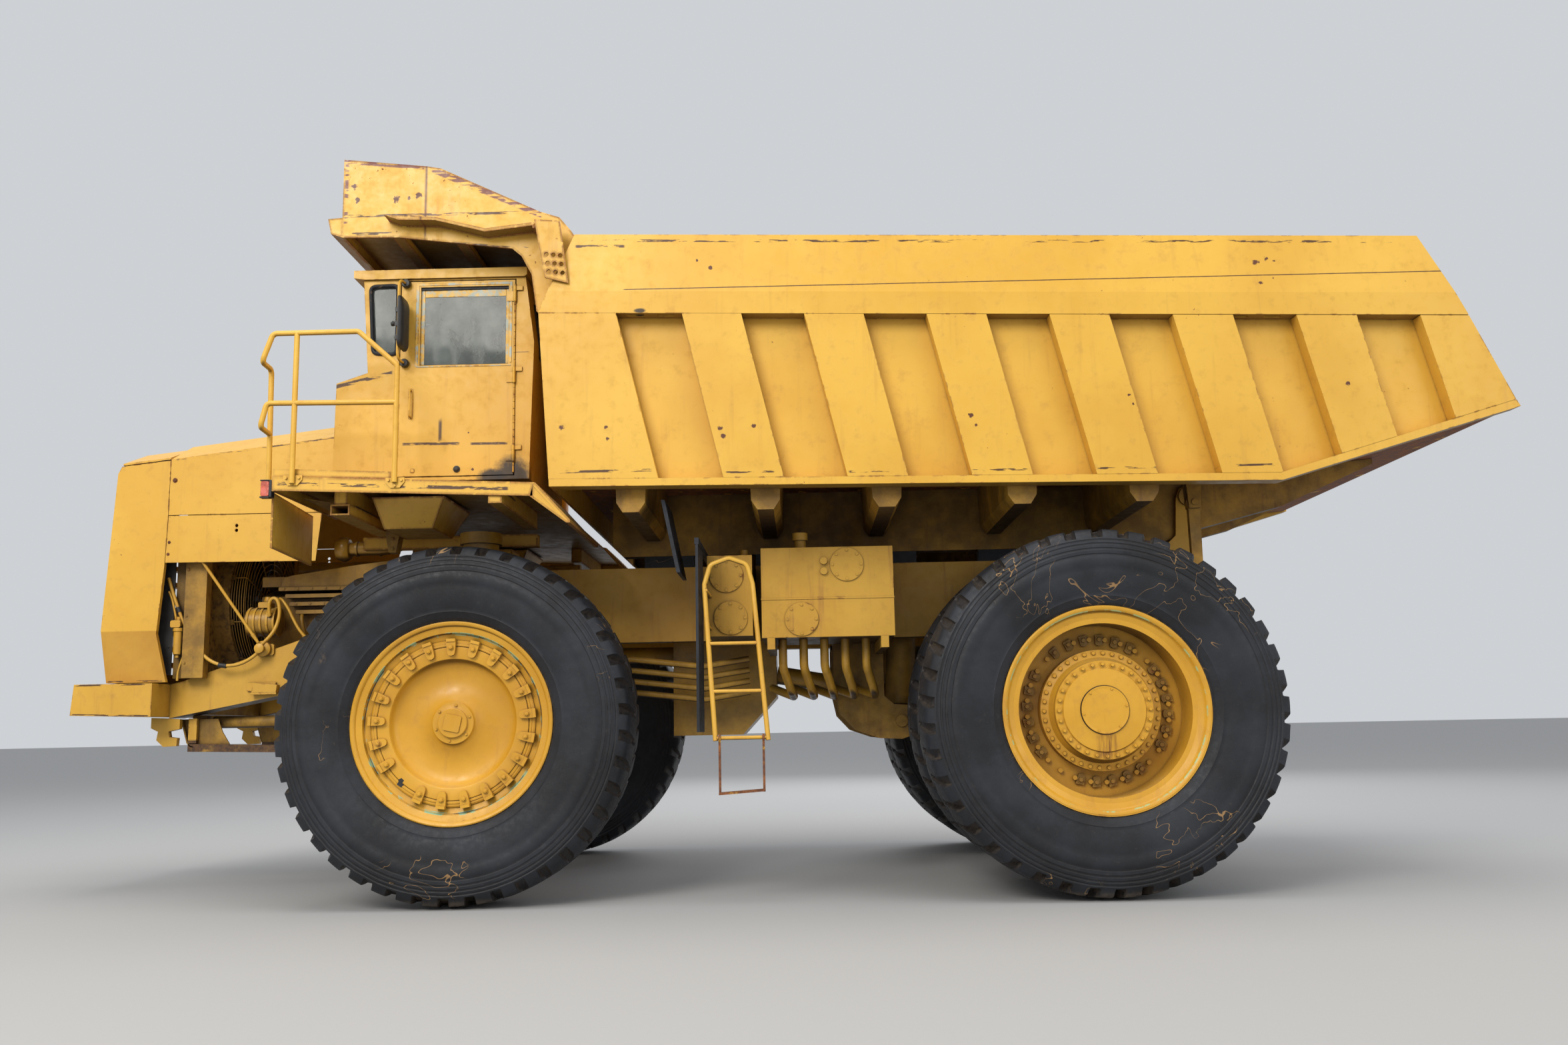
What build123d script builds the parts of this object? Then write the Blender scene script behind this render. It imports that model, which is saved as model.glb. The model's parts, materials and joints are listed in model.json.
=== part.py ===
from build123d import *
import math
import os

# Rigid-frame mining dump truck, in millimetres.
# +X runs to the rear, +Z is up, the truck's left side is -Y.
# The origin is on the ground, at the middle of the truck's length and width.

# ---- driving dimensions ----
WHEELBASE = 4690
FRONT_AXLE_X = -2220
REAR_AXLE_X = FRONT_AXLE_X + WHEELBASE
AXLE_Z = 1310
TYRE_RADIUS = 1310
TYRE_HALF_WIDTH = 370
BEAD_RADIUS = 640
RIM_LIP_RADIUS = 738
RIM_BORE_RADIUS = 615
FRONT_TRACK_HALF = 2026
OUTER_DUAL_Y = 2206
INNER_DUAL_Y = 1326
KINGPIN_Y = 1500

RAIL_OUTER_Y = 750
RAIL_INNER_Y = 600
RAIL_BOTTOM_Z = 1970
RAIL_TOP_Z = 2600
HORN_OUTER_Y = 880

HINGE_X = 3640
HINGE_Z = 3110
HINGE_PIN_RADIUS = 55
FLOOR_Z = 3250
FLOOR_THICKNESS = 25
SIDE_OUTER_Y = 2450
SHEET_OUTER_Y = 2320
SHEET_INNER_Y = 2300
STRINGER_INNER_Y = 600
STRINGER_OUTER_Y = 750
STRINGER_BOTTOM_Z = 2700

DECK_EDGE_Y = 2450
HOOD_HALF_WIDTH = 1100
CAB_OUTER_Y = -2050
CAB_INNER_Y = -650
CAB_WALL = 45
DOOR_HINGE_X = -1850
DOOR_FRONT_X = -2740
DOOR_GAP = 8

HOIST_Y = 460
HOIST_LOWER = (1150, 1270)
HOIST_UPPER = (1230, 2800)

PARTS = {}


# ---- small helpers ----
def add(name, *solids):
    """Collect solids, nested lists included, as one named piece."""
    flat = []
    for item in solids:
        if isinstance(item, (list, tuple)):
            flat.extend(item)
        else:
            flat.append(item)
    for item in flat:
        PARTS.setdefault(name, []).extend(item.solids())


def block(x0, x1, y0, y1, z0, z1):
    """A rectangular block between two corners."""
    centre = Pos((x0 + x1) / 2, (y0 + y1) / 2, (z0 + z1) / 2)
    return centre * Box(abs(x1 - x0), abs(y1 - y0), abs(z1 - z0))


def side_plate(points, y0, y1):
    """A plate cut to an outline in the side view (x, z)."""
    outline = Polyline(*[(x, min(y0, y1), z) for x, z in points], close=True)
    return extrude(make_face(outline), amount=abs(y1 - y0), dir=(0, 1, 0))


def cross_plate(points, x0, x1):
    """A plate cut to an outline in the end view (y, z)."""
    outline = Polyline(*[(min(x0, x1), y, z) for y, z in points], close=True)
    return extrude(make_face(outline), amount=abs(x1 - x0), dir=(1, 0, 0))


def floor_plate(points, z0, z1):
    """A plate cut to an outline in the plan view (x, y)."""
    outline = Polyline(*[(x, y, min(z0, z1)) for x, y in points], close=True)
    return extrude(make_face(outline), amount=abs(z1 - z0), dir=(0, 0, 1))


def sloped_channel(section, start_x, end_x, rise):
    """A (y, z) section drawn along x while it climbs by rise."""
    outline = Polyline(*[(start_x, y, z) for y, z in section], close=True)
    run = end_x - start_x
    return extrude(make_face(outline), amount=math.hypot(run, rise), dir=(run, 0, rise))


def rod(start, end, radius):
    """A round bar between two points."""
    start = Vector(*start)
    along = Vector(*end) - start
    plane = Plane(origin=start, z_dir=along)
    return extrude(plane * Circle(radius), amount=along.length)


def across(x, z, y0, y1, radius):
    """A round bar along Y."""
    return rod((x, min(y0, y1), z), (x, max(y0, y1), z), radius)


def upright(x, y, z0, z1, radius):
    """A round bar along Z."""
    return rod((x, y, min(z0, z1)), (x, y, max(z0, z1)), radius)


def bent_tube(points, radius, bend):
    """A round bar that follows a path with rounded corners."""
    path = FilletPolyline(*points, radius=bend)
    start = Plane(origin=path @ 0, z_dir=path % 0)
    return sweep(start * Circle(radius), path=path)


def turned(profile, x, y, z, outward):
    """A turned part about an axis along Y; profile holds (radius, depth towards outward)."""
    outline = Polyline(*[(x + r, y + outward * d, z) for r, d in profile], close=True)
    return revolve(make_face(outline), axis=Axis((x, y, z), (0, 1, 0)))


def on_circle(count, radius, x, z, phase=0):
    """Points evenly spaced on a circle in the side view."""
    points = []
    for index in range(count):
        angle = math.radians(phase + 360 * index / count)
        points.append((x + radius * math.cos(angle), z + radius * math.sin(angle)))
    return points


def other_side(solids):
    """The same pieces on the other side of the truck."""
    return [mirror(item, about=Plane.XZ) for item in solids]


def both_sides(solids):
    """Pieces drawn on the left, and again on the right."""
    return solids + other_side(solids)


# ---- dump body ----
SIDE_OUTLINE = [(-1500, 3010), (3850, 2940), (5620, 3450), (5320, 4130),
                (5010, 4790), (-1330, 4960), (-1590, 4340)]
TOP_RAIL_FRONT = -1330
TOP_RAIL_SLOPE = -0.0262
TOP_RAIL_BOTTOM_Z = 4325
TOP_RAIL_CREASE_Z = 4495
TOP_RAIL_TOP_Z = 4960
PRESSED_STEEL = 12
RIB_COUNT = 7
RIB_PITCH = 906
RIB_FIRST_X = -508
RIB_WIDTH = 440
RIB_LEAN = -0.2355
RIB_FIELD = [(-1600, 3067), (3838, 2996), (5593, 3502), (5312, 4145), (-1600, 4331)]
BOLSTER_X = (-920, 80, 980, 1980, 2880)
BOLSTER_WIDTH = 240
BOLSTER_BOTTOM_Z = 2830
FLOOR_BREAK_X = 3300


def rail_section(inset):
    """Section of the hollow top rail on the left side at its front end."""
    outer = -SIDE_OUTER_Y + inset
    inner = -SHEET_OUTER_Y - inset
    return [(outer, TOP_RAIL_BOTTOM_Z + inset), (inner, TOP_RAIL_BOTTOM_Z + inset),
            (inner, TOP_RAIL_TOP_Z - inset), (outer + 55, TOP_RAIL_TOP_Z - inset),
            (outer, TOP_RAIL_CREASE_Z)]


def left_top_rail():
    """Hollow folded rail along the top of the side, with drain slots underneath."""
    front = -1700
    lift = TOP_RAIL_SLOPE * (front - TOP_RAIL_FRONT)
    run = 7100
    skin = sloped_channel(rail_section(0), front, front + run, TOP_RAIL_SLOPE * run)
    skin = Pos(0, 0, lift) * skin & side_plate(SIDE_OUTLINE, -SIDE_OUTER_Y - 50, -SHEET_OUTER_Y)
    void = sloped_channel(rail_section(PRESSED_STEEL), -1150, 4880, TOP_RAIL_SLOPE * 6030)
    void = Pos(0, 0, TOP_RAIL_SLOPE * (-1150 - TOP_RAIL_FRONT)) * void
    rail = skin - void
    for slot_x in (-870, -640, 3640, 3890):
        slot = block(slot_x - 65, slot_x + 65, -SIDE_OUTER_Y + 40, -SIDE_OUTER_Y + 85, 4100, 4400)
        rail = rail - slot
    return rail


def left_pressed_rib(points):
    """A shallow pressed channel standing on the side sheet."""
    outer = side_plate(points, -SIDE_OUTER_Y, -SHEET_OUTER_Y) & side_plate(
        RIB_FIELD, -SIDE_OUTER_Y, -SHEET_OUTER_Y)
    (x0, z0), (x1, z1), (x2, z2), (x3, z3) = points
    inset = PRESSED_STEEL
    core = [(x0 + inset, z0), (x1 - inset, z1), (x2 - inset, z2), (x3 + inset, z3)]
    hollow = side_plate(core, -SIDE_OUTER_Y + inset, -SHEET_OUTER_Y)
    return outer - hollow


def left_side_ribs():
    """The front post and the seven leaning ribs."""
    ribs = [left_pressed_rib([(-1500, 3000), (-686, 3000), (-1030, 4400), (-1594, 4400)])]
    low, high = 2900, 4400
    for index in range(RIB_COUNT - 1):
        left = RIB_FIRST_X + index * RIB_PITCH
        low_x = left + RIB_LEAN * (low - 4270)
        high_x = left + RIB_LEAN * (high - 4270)
        ribs.append(left_pressed_rib([(low_x, low), (low_x + RIB_WIDTH, low),
                                      (high_x + RIB_WIDTH, high), (high_x, high)]))
    left = RIB_FIRST_X + (RIB_COUNT - 1) * RIB_PITCH
    tail = [(left + RIB_LEAN * (low - 4270), low), (5855, low), (5200, high), (left + RIB_LEAN * 130, high)]
    ribs.append(left_pressed_rib(tail))
    return ribs


def left_side_panel():
    """Side sheet with the turned-out flange along its bottom edge."""
    sheet = side_plate(SIDE_OUTLINE, -SHEET_OUTER_Y, -SHEET_INNER_Y)
    flange = side_plate([(-1500, 3010), (3850, 2940), (5620, 3450), (5594, 3500), (3838, 2994), (-1503, 3065)],
                        -SIDE_OUTER_Y, -SHEET_OUTER_Y)
    return [sheet + flange]


def body_floor():
    """Floor plate: flat over the frame, then climbing to the tail."""
    top = [(-1480, FLOOR_Z), (FLOOR_BREAK_X, FLOOR_Z), (5590, 3475)]
    bottom = [(5580, 3475 - FLOOR_THICKNESS), (FLOOR_BREAK_X, FLOOR_Z - FLOOR_THICKNESS),
              (-1480, FLOOR_Z - FLOOR_THICKNESS)]
    return side_plate(top + bottom, -SHEET_INNER_Y, SHEET_INNER_Y)


def front_wall():
    """Wall behind the cab, with upright stiffeners on its front face."""
    sheet = side_plate([(-1500, 3010), (-1480, 3010), (-1480, 3222), (-1482, 3252), (-1568, 4340), (-1590, 4340)],
                       -SHEET_INNER_Y, SHEET_INNER_Y)
    solids = [sheet]
    for y in (-1500, -750, 0, 750, 1500):
        solids.append(side_plate([(-1500, 3020), (-1545, 3060), (-1622, 4250), (-1583, 4250)], y - 60, y + 60))
    return solids


def canopy():
    """Rock guard over the cab: floor plate, front plate, lip, wings, ledges and drilled brackets."""
    plate = side_plate([(-1590, 4340), (-1605, 4750), (-1680, 4960), (-1850, 5060), (-3110, 5095),
                        (-3110, 5111), (-1846, 5076), (-1668, 4972), (-1589, 4752), (-1568, 4340)],
                       -SHEET_INNER_Y, SHEET_INNER_Y)
    front = block(-3130, -3110, -SHEET_INNER_Y, SHEET_INNER_Y, 5010, 5640)
    lip = side_plate([(-3240, 5160), (-3130, 5168), (-3130, 5010), (-3215, 5040)],
                     -SHEET_OUTER_Y, SHEET_OUTER_Y)
    solids = [plate, front, lip]
    for x in (-2700, -2250):
        solids.append(block(x - 40, x + 40, -SHEET_INNER_Y, SHEET_INNER_Y, 5000, 5060))
    wing = side_plate([(-3130, 5010), (-2690, 5000), (-1820, 4890), (-1750, 4830), (-1670, 4680), (-1630, 4390),
                       (-1590, 4340), (-1330, 4960), (-1370, 5020), (-1460, 5130), (-1610, 5180),
                       (-2380, 5550), (-2490, 5570), (-3130, 5640)], -SHEET_OUTER_Y, -SHEET_INNER_Y)
    ledge = side_plate([(-2770, 5130), (-2380, 5105), (-2000, 5005), (-1630, 5045),
                        (-1630, 5020), (-2000, 4980), (-2380, 5080), (-2660, 5090)],
                       -SIDE_OUTER_Y, -SHEET_OUTER_Y)
    bracket = side_plate([(-1625, 5060), (-1430, 5045), (-1362, 4552), (-1540, 4600)],
                         -SIDE_OUTER_Y - 18, -SIDE_OUTER_Y - 2)
    for column in range(3):
        for row in range(3):
            x = -1510 + column * 52 - row * 9
            z = 4645 - column * 6 + row * 68
            bracket = bracket - across(x, z, -SIDE_OUTER_Y - 30, -SIDE_OUTER_Y + 10, 17)
    stay = side_plate([(-1640, 5018), (-1480, 5018), (-1480, 4998), (-1640, 4998)],
                      -SIDE_OUTER_Y - 2, -SHEET_OUTER_Y)
    solids.extend(both_sides([wing, ledge, bracket, stay]))
    return solids


def floor_bolsters():
    """Round-bottomed cross channels under the floor, broken where the stringers pass."""
    solids = []
    underside = FLOOR_Z - FLOOR_THICKNESS
    for x in BOLSTER_X:
        half = BOLSTER_WIDTH / 2
        profile = [(x - half, underside), (x - half + 14, 2900), (x - 60, BOLSTER_BOTTOM_Z),
                   (x + 60, BOLSTER_BOTTOM_Z), (x + half - 14, 2900), (x + half, underside)]
        skin = PRESSED_STEEL
        inner = [(x - half + skin, underside), (x - half + 26, 2906), (x - 54, BOLSTER_BOTTOM_Z + skin),
                 (x + 54, BOLSTER_BOTTOM_Z + skin), (x + half - 26, 2906), (x + half - skin, underside)]
        wing = side_plate(profile, -SHEET_INNER_Y, -STRINGER_OUTER_Y) - side_plate(
            inner, -SHEET_INNER_Y + skin, -STRINGER_OUTER_Y)
        solids.extend(both_sides([wing]))
        solids.append(side_plate(profile, -STRINGER_INNER_Y, STRINGER_INNER_Y) - side_plate(
            inner, -STRINGER_INNER_Y, STRINGER_INNER_Y))
    return solids


def left_stringer():
    """Box rail under the floor with the hinge eye at its rear and the hoist lugs inboard."""
    underside = FLOOR_Z - FLOOR_THICKNESS
    outline = [(-1270, underside), (-1270, 2790), (-1180, STRINGER_BOTTOM_Z), (3330, STRINGER_BOTTOM_Z),
               (3700, 2830), (4450, 3020), (5250, 3370), (5250, 3414), (FLOOR_BREAK_X, underside)]
    stringer = side_plate(outline, -STRINGER_OUTER_Y, -STRINGER_INNER_Y)
    void = side_plate([(-1255, underside - 15), (-1255, 2800), (-1170, STRINGER_BOTTOM_Z + 15),
                       (3200, STRINGER_BOTTOM_Z + 15), (3200, underside - 15)],
                      -STRINGER_OUTER_Y + 15, -STRINGER_INNER_Y + 15)
    stringer = stringer - void
    return stringer - across(HINGE_X, HINGE_Z, -900, -500, HINGE_PIN_RADIUS + 0.06)


def left_hoist_lugs():
    """Wide plates under the floor that straddle the hoist rod's head."""
    x, z = HOIST_UPPER
    underside = FLOOR_Z - FLOOR_THICKNESS
    plate = [(x - 105, underside), (x - 105, z + 10), (x - 60, z - 95), (x + 130, z - 95),
             (x + 250, z + 60), (x + 250, underside)]
    solids = []
    for y in (-HOIST_Y - 112, -HOIST_Y + 88):
        solids.append(side_plate(plate, y, y + 24))
    return solids


def make_dump_body():
    add("body_sides", both_sides(left_side_panel() + [left_top_rail()]))
    add("side_ribs", both_sides(left_side_ribs()))
    add("body_floor", body_floor())
    add("front_wall", front_wall())
    add("canopy", canopy())
    add("floor_bolsters", floor_bolsters(), ejector_hangers())
    add("floor_stringers", both_sides([left_stringer()] + left_hoist_lugs()))


# ---- frame ----
HORN_REAR_X = -3300
RAIL_REAR_X = 3720
RAIL_WALL = 20


def left_frame_rail():
    """Box rail, with the rising horn that carries the bumper in front."""
    rail = block(HORN_REAR_X, RAIL_REAR_X, -RAIL_OUTER_Y, -RAIL_INNER_Y, RAIL_BOTTOM_Z, RAIL_TOP_Z)
    void = block(HORN_REAR_X + 30, RAIL_REAR_X + 1, -RAIL_OUTER_Y + RAIL_WALL, -RAIL_INNER_Y - RAIL_WALL,
                 RAIL_BOTTOM_Z + RAIL_WALL, RAIL_TOP_Z - RAIL_WALL)
    horn = side_plate([(-4960, 1410), (-4960, 1690), (-4870, 1710), (-3940, 2020), (-3300, 2250),
                       (-3300, 1972), (-4040, 1580)], -HORN_OUTER_Y, -RAIL_INNER_Y)
    step_box = block(-4310, -4070, -HORN_OUTER_Y - 20, -HORN_OUTER_Y, 1620, 1690)
    return [rail - void, horn + step_box]


def left_frame_ears():
    """Plates on both faces of the rail's rear end that hold the body hinge pin."""
    outline = [(3330, 2200), (3720, 2200), (3720, 2600), (3735, 3050), (3700, 3180), (3640, 3210),
               (3570, 3180), (3540, 3090), (3520, 2780), (3330, 2600)]
    solids = []
    for y in (-RAIL_OUTER_Y - 42, -RAIL_INNER_Y + 2):
        ear = side_plate(outline, y, y + 40)
        solids.append(ear - across(HINGE_X, HINGE_Z, y - 10, y + 50, HINGE_PIN_RADIUS))
    return solids


def frame_crossmembers():
    """Round tubes and plates between the rails, and the front strut beam."""
    solids = []
    for x in (-1400, 300, 3130):
        solids.append(across(x, 2280, -RAIL_INNER_Y, RAIL_INNER_Y, 150) - across(
            x, 2280, -RAIL_INNER_Y, RAIL_INNER_Y, 130))
    solids.append(block(-4950, -4800, -RAIL_INNER_Y, RAIL_INNER_Y, 1440, 1680))
    for side in (-1, 1):
        beam = side_plate([(-2420, 2050), (-2020, 2050), (-2020, 2590), (-2420, 2590)],
                          side * RAIL_OUTER_Y, side * 1350)
        core = side_plate([(-2400, 2070), (-2040, 2070), (-2040, 2570), (-2400, 2570)],
                          side * RAIL_OUTER_Y, side * 1330)
        solids.append(beam - core)
    return solids


def bumper():
    """Deep hollow bumper in front of the radiator guard, tow hooks and lower bars behind it."""
    outer = side_plate([(-5620, 1440), (-5600, 1690), (-4960, 1690), (-4960, 1420)], -1200, 1200)
    void = side_plate([(-5600, 1455), (-5585, 1675), (-4980, 1675), (-4980, 1435)], -1185, 1185)
    slot = block(-4990, -4950, -580, 580, 1460, 1660)
    solids = [outer - void - slot]
    hook = side_plate([(-5110, 1416), (-4960, 1409), (-4870, 1400), (-4870, 1320), (-4960, 1300), (-4950, 1255), (-4885, 1245),
                       (-4890, 1180), (-5000, 1175), (-5060, 1230), (-5050, 1300), (-5110, 1330)], -875, -825)
    bar = side_plate([(-4830, 1195), (-4060, 1172), (-3600, 1165), (-3600, 1115), (-4060, 1112), (-4830, 1130)],
                     -800, -740)
    hanger = side_plate([(-4830, 1405), (-4760, 1405), (-4760, 1200), (-4830, 1200)], -800, -760)
    solids.extend(both_sides([hook, bar, hanger]))
    return solids


def radiator_guard():
    """Upright guard box: folded side cheeks, top bridge and grille bars in front."""
    outline = [(-5360, 3512), (-5390, 3450), (-5460, 2130), (-5390, 1700), (-4900, 1700),
               (-5000, 2100), (-4960, 2670), (-4950, 3070), (-4950, 3556)]
    cheek = side_plate(outline, -HOOD_HALF_WIDTH, -HOOD_HALF_WIDTH + 40)
    post = side_plate([(-5358, 3511), (-5388, 3450), (-5458, 2130), (-5388, 1702),
                       (-5310, 1702), (-5370, 2130), (-5300, 3450), (-5290, 3511)], -1060, -880)
    solids = both_sides([cheek, post])
    top = sloped_channel([(-1100, 3520), (1100, 3520), (1100, 3536), (700, 3690), (-700, 3690), (-1100, 3536)],
                         -5350, -4948, 45)
    sill = block(-5385, -5250, -879, 879, 1702, 1800)
    solids.extend([top, sill])
    for index in range(11):
        z = 1900 + index * 145
        front = -5445 + abs(z - 2130) * 0.053
        solids.append(block(front, front + 60, -879, 879, z - 22, z + 22))
    solids.append(block(-5240, -5215, -30, 30, 1801, 3519))
    return solids


def radiator():
    """Radiator core with tanks, fan shroud and the guard ring around the fan."""
    core = block(-4900, -4760, -850, 850, 1860, 3250)
    tanks = [block(-4920, -4740, -870, 870, 3251, 3430), block(-4920, -4740, -870, 870, 1768, 1859)]
    shroud = Pos(-4680, 0, 2420) * Rot(0, 90, 0) * Cylinder(640, 150)
    shroud = shroud - Pos(-4680, 0, 2420) * Rot(0, 90, 0) * Cylinder(615, 160)
    plate = block(-4759, -4745, -850, 850, 1862, 3248)
    plate = plate - Pos(-4752, 0, 2420) * Rot(0, 90, 0) * Cylinder(615, 40)
    straps = both_sides([block(-4900, -4820, -1059, -871, 3300, 3380)])
    return [core, plate, shroud - block(-4760, -4745, -700, 700, 1700, 3200)] + tanks + straps


def radiator_fan():
    """Eight twisted blades on a hub, turning about X."""
    hub = Pos(-4665, 0, 2420) * Rot(0, 90, 0) * Cylinder(90, 70)
    fan = hub
    for index in range(8):
        blade = Pos(0, 0, 335) * Rot(0, 0, 28) * Box(12, 165, 510)
        fan = fan + Pos(-4665, 0, 2420) * Rot(45 * index, 0, 0) * blade
    return fan


def hood():
    """Engine hood: crowned top and two-part side panels."""
    front_x, rear_x = -4946, -3262
    rise = 200
    outer = [(-1100, 2880), (-1100, 3566), (-720, 3752), (720, 3752), (1100, 3566), (1100, 2880)]
    inner = [(1088, 2880), (1088, 3558), (716, 3740), (-716, 3740), (-1088, 3558), (-1088, 2880)]
    shell = sloped_channel(outer + inner, front_x, rear_x, rise)
    shell = shell - block(-5000, -3200, -1200, 1200, 2800, 3090)
    lower = side_plate([(-4946, 3084), (-4956, 2690), (-3700, 2680), (-3660, 3084)], -1097, -1087)
    lower = lower - across(-4370, 2990, -1110, -1070, 14) - across(-4370, 2950, -1110, -1070, 14)
    return [shell] + both_sides([lower])


def engine():
    """V engine block with heads, covers, sump, damper, generator and belts."""
    block_body = cross_plate([(-300, 1700), (-520, 2150), (-560, 2440), (-300, 2520), (-120, 2250), (120, 2250),
                              (300, 2520), (560, 2440), (520, 2150), (300, 1700)], -4350, -2650)
    sump = cross_plate([(-260, 1699), (260, 1699), (220, 1480), (-220, 1480)], -4250, -2750)
    solids = [block_body, sump]
    for index in range(6):
        x = -4230 + index * 260
        solids.extend(both_sides([block(x - 110, x + 110, -590, -330, 2524, 2610)]))
    solids.append(Pos(-4400, 0, 1900) * Rot(0, 90, 0) * Cylinder(190, 90))
    solids.append(rod((-4630, 0, 2420), (-4352, 0, 2420), 45))
    generator = rod((-4380, -720, 2210), (-4130, -720, 2210), 120)
    arm = block(-4330, -4180, -602, -530, 2150, 2270)
    solids.extend([generator, arm])
    manifold = rod((-4200, -80, 2720), (-2750, -80, 2720), 75)
    solids.append(manifold)
    solids.append(rod((-4200, 120, 2720), (-2750, 120, 2720), 75))
    return solids


def transmission():
    """Gearbox behind the engine and the shaft to the rear axle."""
    case = rod((-2640, 0, 1950), (-1900, 0, 1950), 400)
    rear_case = side_plate([(-800, 1180), (-200, 1180), (100, 1500), (100, 2150), (-800, 2250)], -330, 330)
    front_shaft = rod((-1899, 0, 1900), (-801, 0, 1900), 70)
    rear_shaft = rod((101, 0, 1700), (1680, 0, 1422), 80)
    return [case, rear_case, front_shaft, rear_shaft]


def left_hoist_bracket():
    """Hanging plates under the rail that carry the hoist's lower pin."""
    x, z = HOIST_LOWER
    outline = [(590, 1969), (590, 1560), (640, 1330), (760, 1200), (960, 1130), (1150, 1120), (1240, 1150),
               (1290, 1220), (1290, 1330), (1220, 1400), (1090, 1410), (1010, 1480), (1010, 1969)]
    solids = []
    for y in (-735, -320):
        solids.append(side_plate(outline, y, y + 30) - across(x, z, y - 5, y + 35, 50))
    solids.append(block(590, 1000, -705, -290, 1930, 1969))
    solids.append(across(x, z, -755, -275, 50))
    return solids


def suspension_struts():
    """Front strut housings on the frame beam and the rear struts over the axle."""
    left = [upright(FRONT_AXLE_X, -KINGPIN_Y, 2000, 2720, 140) - upright(FRONT_AXLE_X, -KINGPIN_Y, 1990, 2640, 95.06),
            upright(FRONT_AXLE_X, -KINGPIN_Y, 2721, 2810, 165),
            block(-2400, -2040, -1440, -1351, 2080, 2560) - upright(FRONT_AXLE_X, -KINGPIN_Y, 1900, 2800, 140),
            upright(2760, -485, 1700, 2540, 110) - upright(2760, -485, 1690, 2250, 80),
            upright(2760, -485, 1560, 2240, 79.9),
            block(2640, 2880, -599, -370, 2541, 2599)]
    return both_sides(left)


def rear_axle_housing():
    """Banjo housing, its tubes towards the duals, the nose arm and the strut feet."""
    centre = turned([(0, -420), (330, -420), (450, -250), (450, 250), (330, 420), (0, 420)],
                    REAR_AXLE_X, 0, AXLE_Z, 1)
    tube = across(REAR_AXLE_X, AXLE_Z, -1050, 1050, 230)
    spindle = across(REAR_AXLE_X, AXLE_Z, -2100, 2100, 150)
    nose = side_plate([(1700, 1330), (1700, 1500), (2100, 1700), (2300, 1600), (2300, 1020), (2100, 1050)],
                      -180, 180)
    feet = both_sides([block(2560, 2860, -620, -380, 1430, 1559)])
    return [centre + tube + spindle + nose] + feet


def left_hinge_pin():
    """Pin through the frame ears and the stringer eye, with a keeper cap at its outer end."""
    pin = across(HINGE_X, HINGE_Z, -RAIL_OUTER_Y - 55, -RAIL_INNER_Y + 55, HINGE_PIN_RADIUS)
    cap = across(HINGE_X, HINGE_Z, -RAIL_OUTER_Y - 70, -RAIL_OUTER_Y - 43, 80)
    return [pin + cap]


def body_pads():
    """Rubber pads on top of the rails that carry the lowered body."""
    left = []
    for index in range(5):
        x = -1000 + index * 950
        left.append(block(x, x + 420, -RAIL_OUTER_Y + 10, -RAIL_INNER_Y - 10, RAIL_TOP_Z, STRINGER_BOTTOM_Z - 1))
    return both_sides(left)


# ---- decks and handrails ----
def deck_top(x):
    """Height of the deck, which falls slightly to the rear."""
    return 3130 - (x + 3540) * 0.0443


def left_deck():
    """Deck plate with deep edge, kick plate, beams, sloped tail and front fender plate."""
    front_x, rear_x = -3540, -1620
    top = [(front_x, deck_top(front_x)), (rear_x, deck_top(rear_x))]
    thin = [(rear_x, deck_top(rear_x) - 14), (front_x, deck_top(front_x) - 14)]
    deep = [(rear_x, deck_top(rear_x) - 102), (front_x, deck_top(front_x) - 106)]
    plate = side_plate(top + thin, -DECK_EDGE_Y, -1105)
    edge = side_plate(top + deep, -DECK_EDGE_Y, -DECK_EDGE_Y + 14)
    front_edge = block(front_x, front_x + 14, -DECK_EDGE_Y, -1105, 3020, deck_top(front_x + 14))
    kick = side_plate([(front_x, deck_top(front_x)), (-2670, deck_top(-2670)), (-2670, 3150), (front_x, 3192)],
                      -DECK_EDGE_Y + 14, -DECK_EDGE_Y + 22)
    tail = side_plate([(-1620, 3045), (-1600, 3040), (-1345, 2760), (-1345, 2740), (-1372, 2740), (-1620, 3020)],
                      -DECK_EDGE_Y, -1110)
    gusset = side_plate([(-1620, 3018), (-1640, 2940), (-1372, 2740)], -DECK_EDGE_Y, -DECK_EDGE_Y + 14)
    body = plate + edge + front_edge
    solids = [body, kick, tail, gusset]
    fender = floor_plate([(-3562, -2388), (-3547, -2388), (-3655, -1300), (-3670, -1300)], 2610, 3019)
    solids.append(fender)
    channel = block(-3175, -3030, -2250, -1106, 2864, 2946)
    solids.append(channel - block(-3163, -3042, -2260, -1100, 2876, 2934))
    solids.append(block(-3150, -3055, -2240, -1106, 2947, deck_top(-3055) - 15))
    solids.append(block(-1950, -1850, -2430, -1106, 2900, deck_top(-1850) - 15))
    solids.append(block(-3300, -1850, -1105, -1000, 2760, 2863))
    pan = cross_plate([(-1960, 3046), (-1150, 3046), (-1260, 2815), (-1830, 2815)], -2960, -2400)
    solids.append(pan & side_plate([(-2960, 3046), (-2400, 3046), (-2520, 2815), (-2900, 2815)], -1960, -1150))
    solids.append(side_plate([(-2380, 2740), (-2060, 2740), (-2060, 2600), (-2380, 2600)], -1105, -800))
    return solids


def centre_deck():
    """Plate that closes the gap between the two decks behind the hood."""
    front_x, rear_x = -3250, -1632
    return side_plate([(front_x, deck_top(front_x)), (rear_x, deck_top(rear_x)), (rear_x, deck_top(rear_x) - 14),
                       (front_x, deck_top(front_x) - 14)], -1100, 1100)


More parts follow.
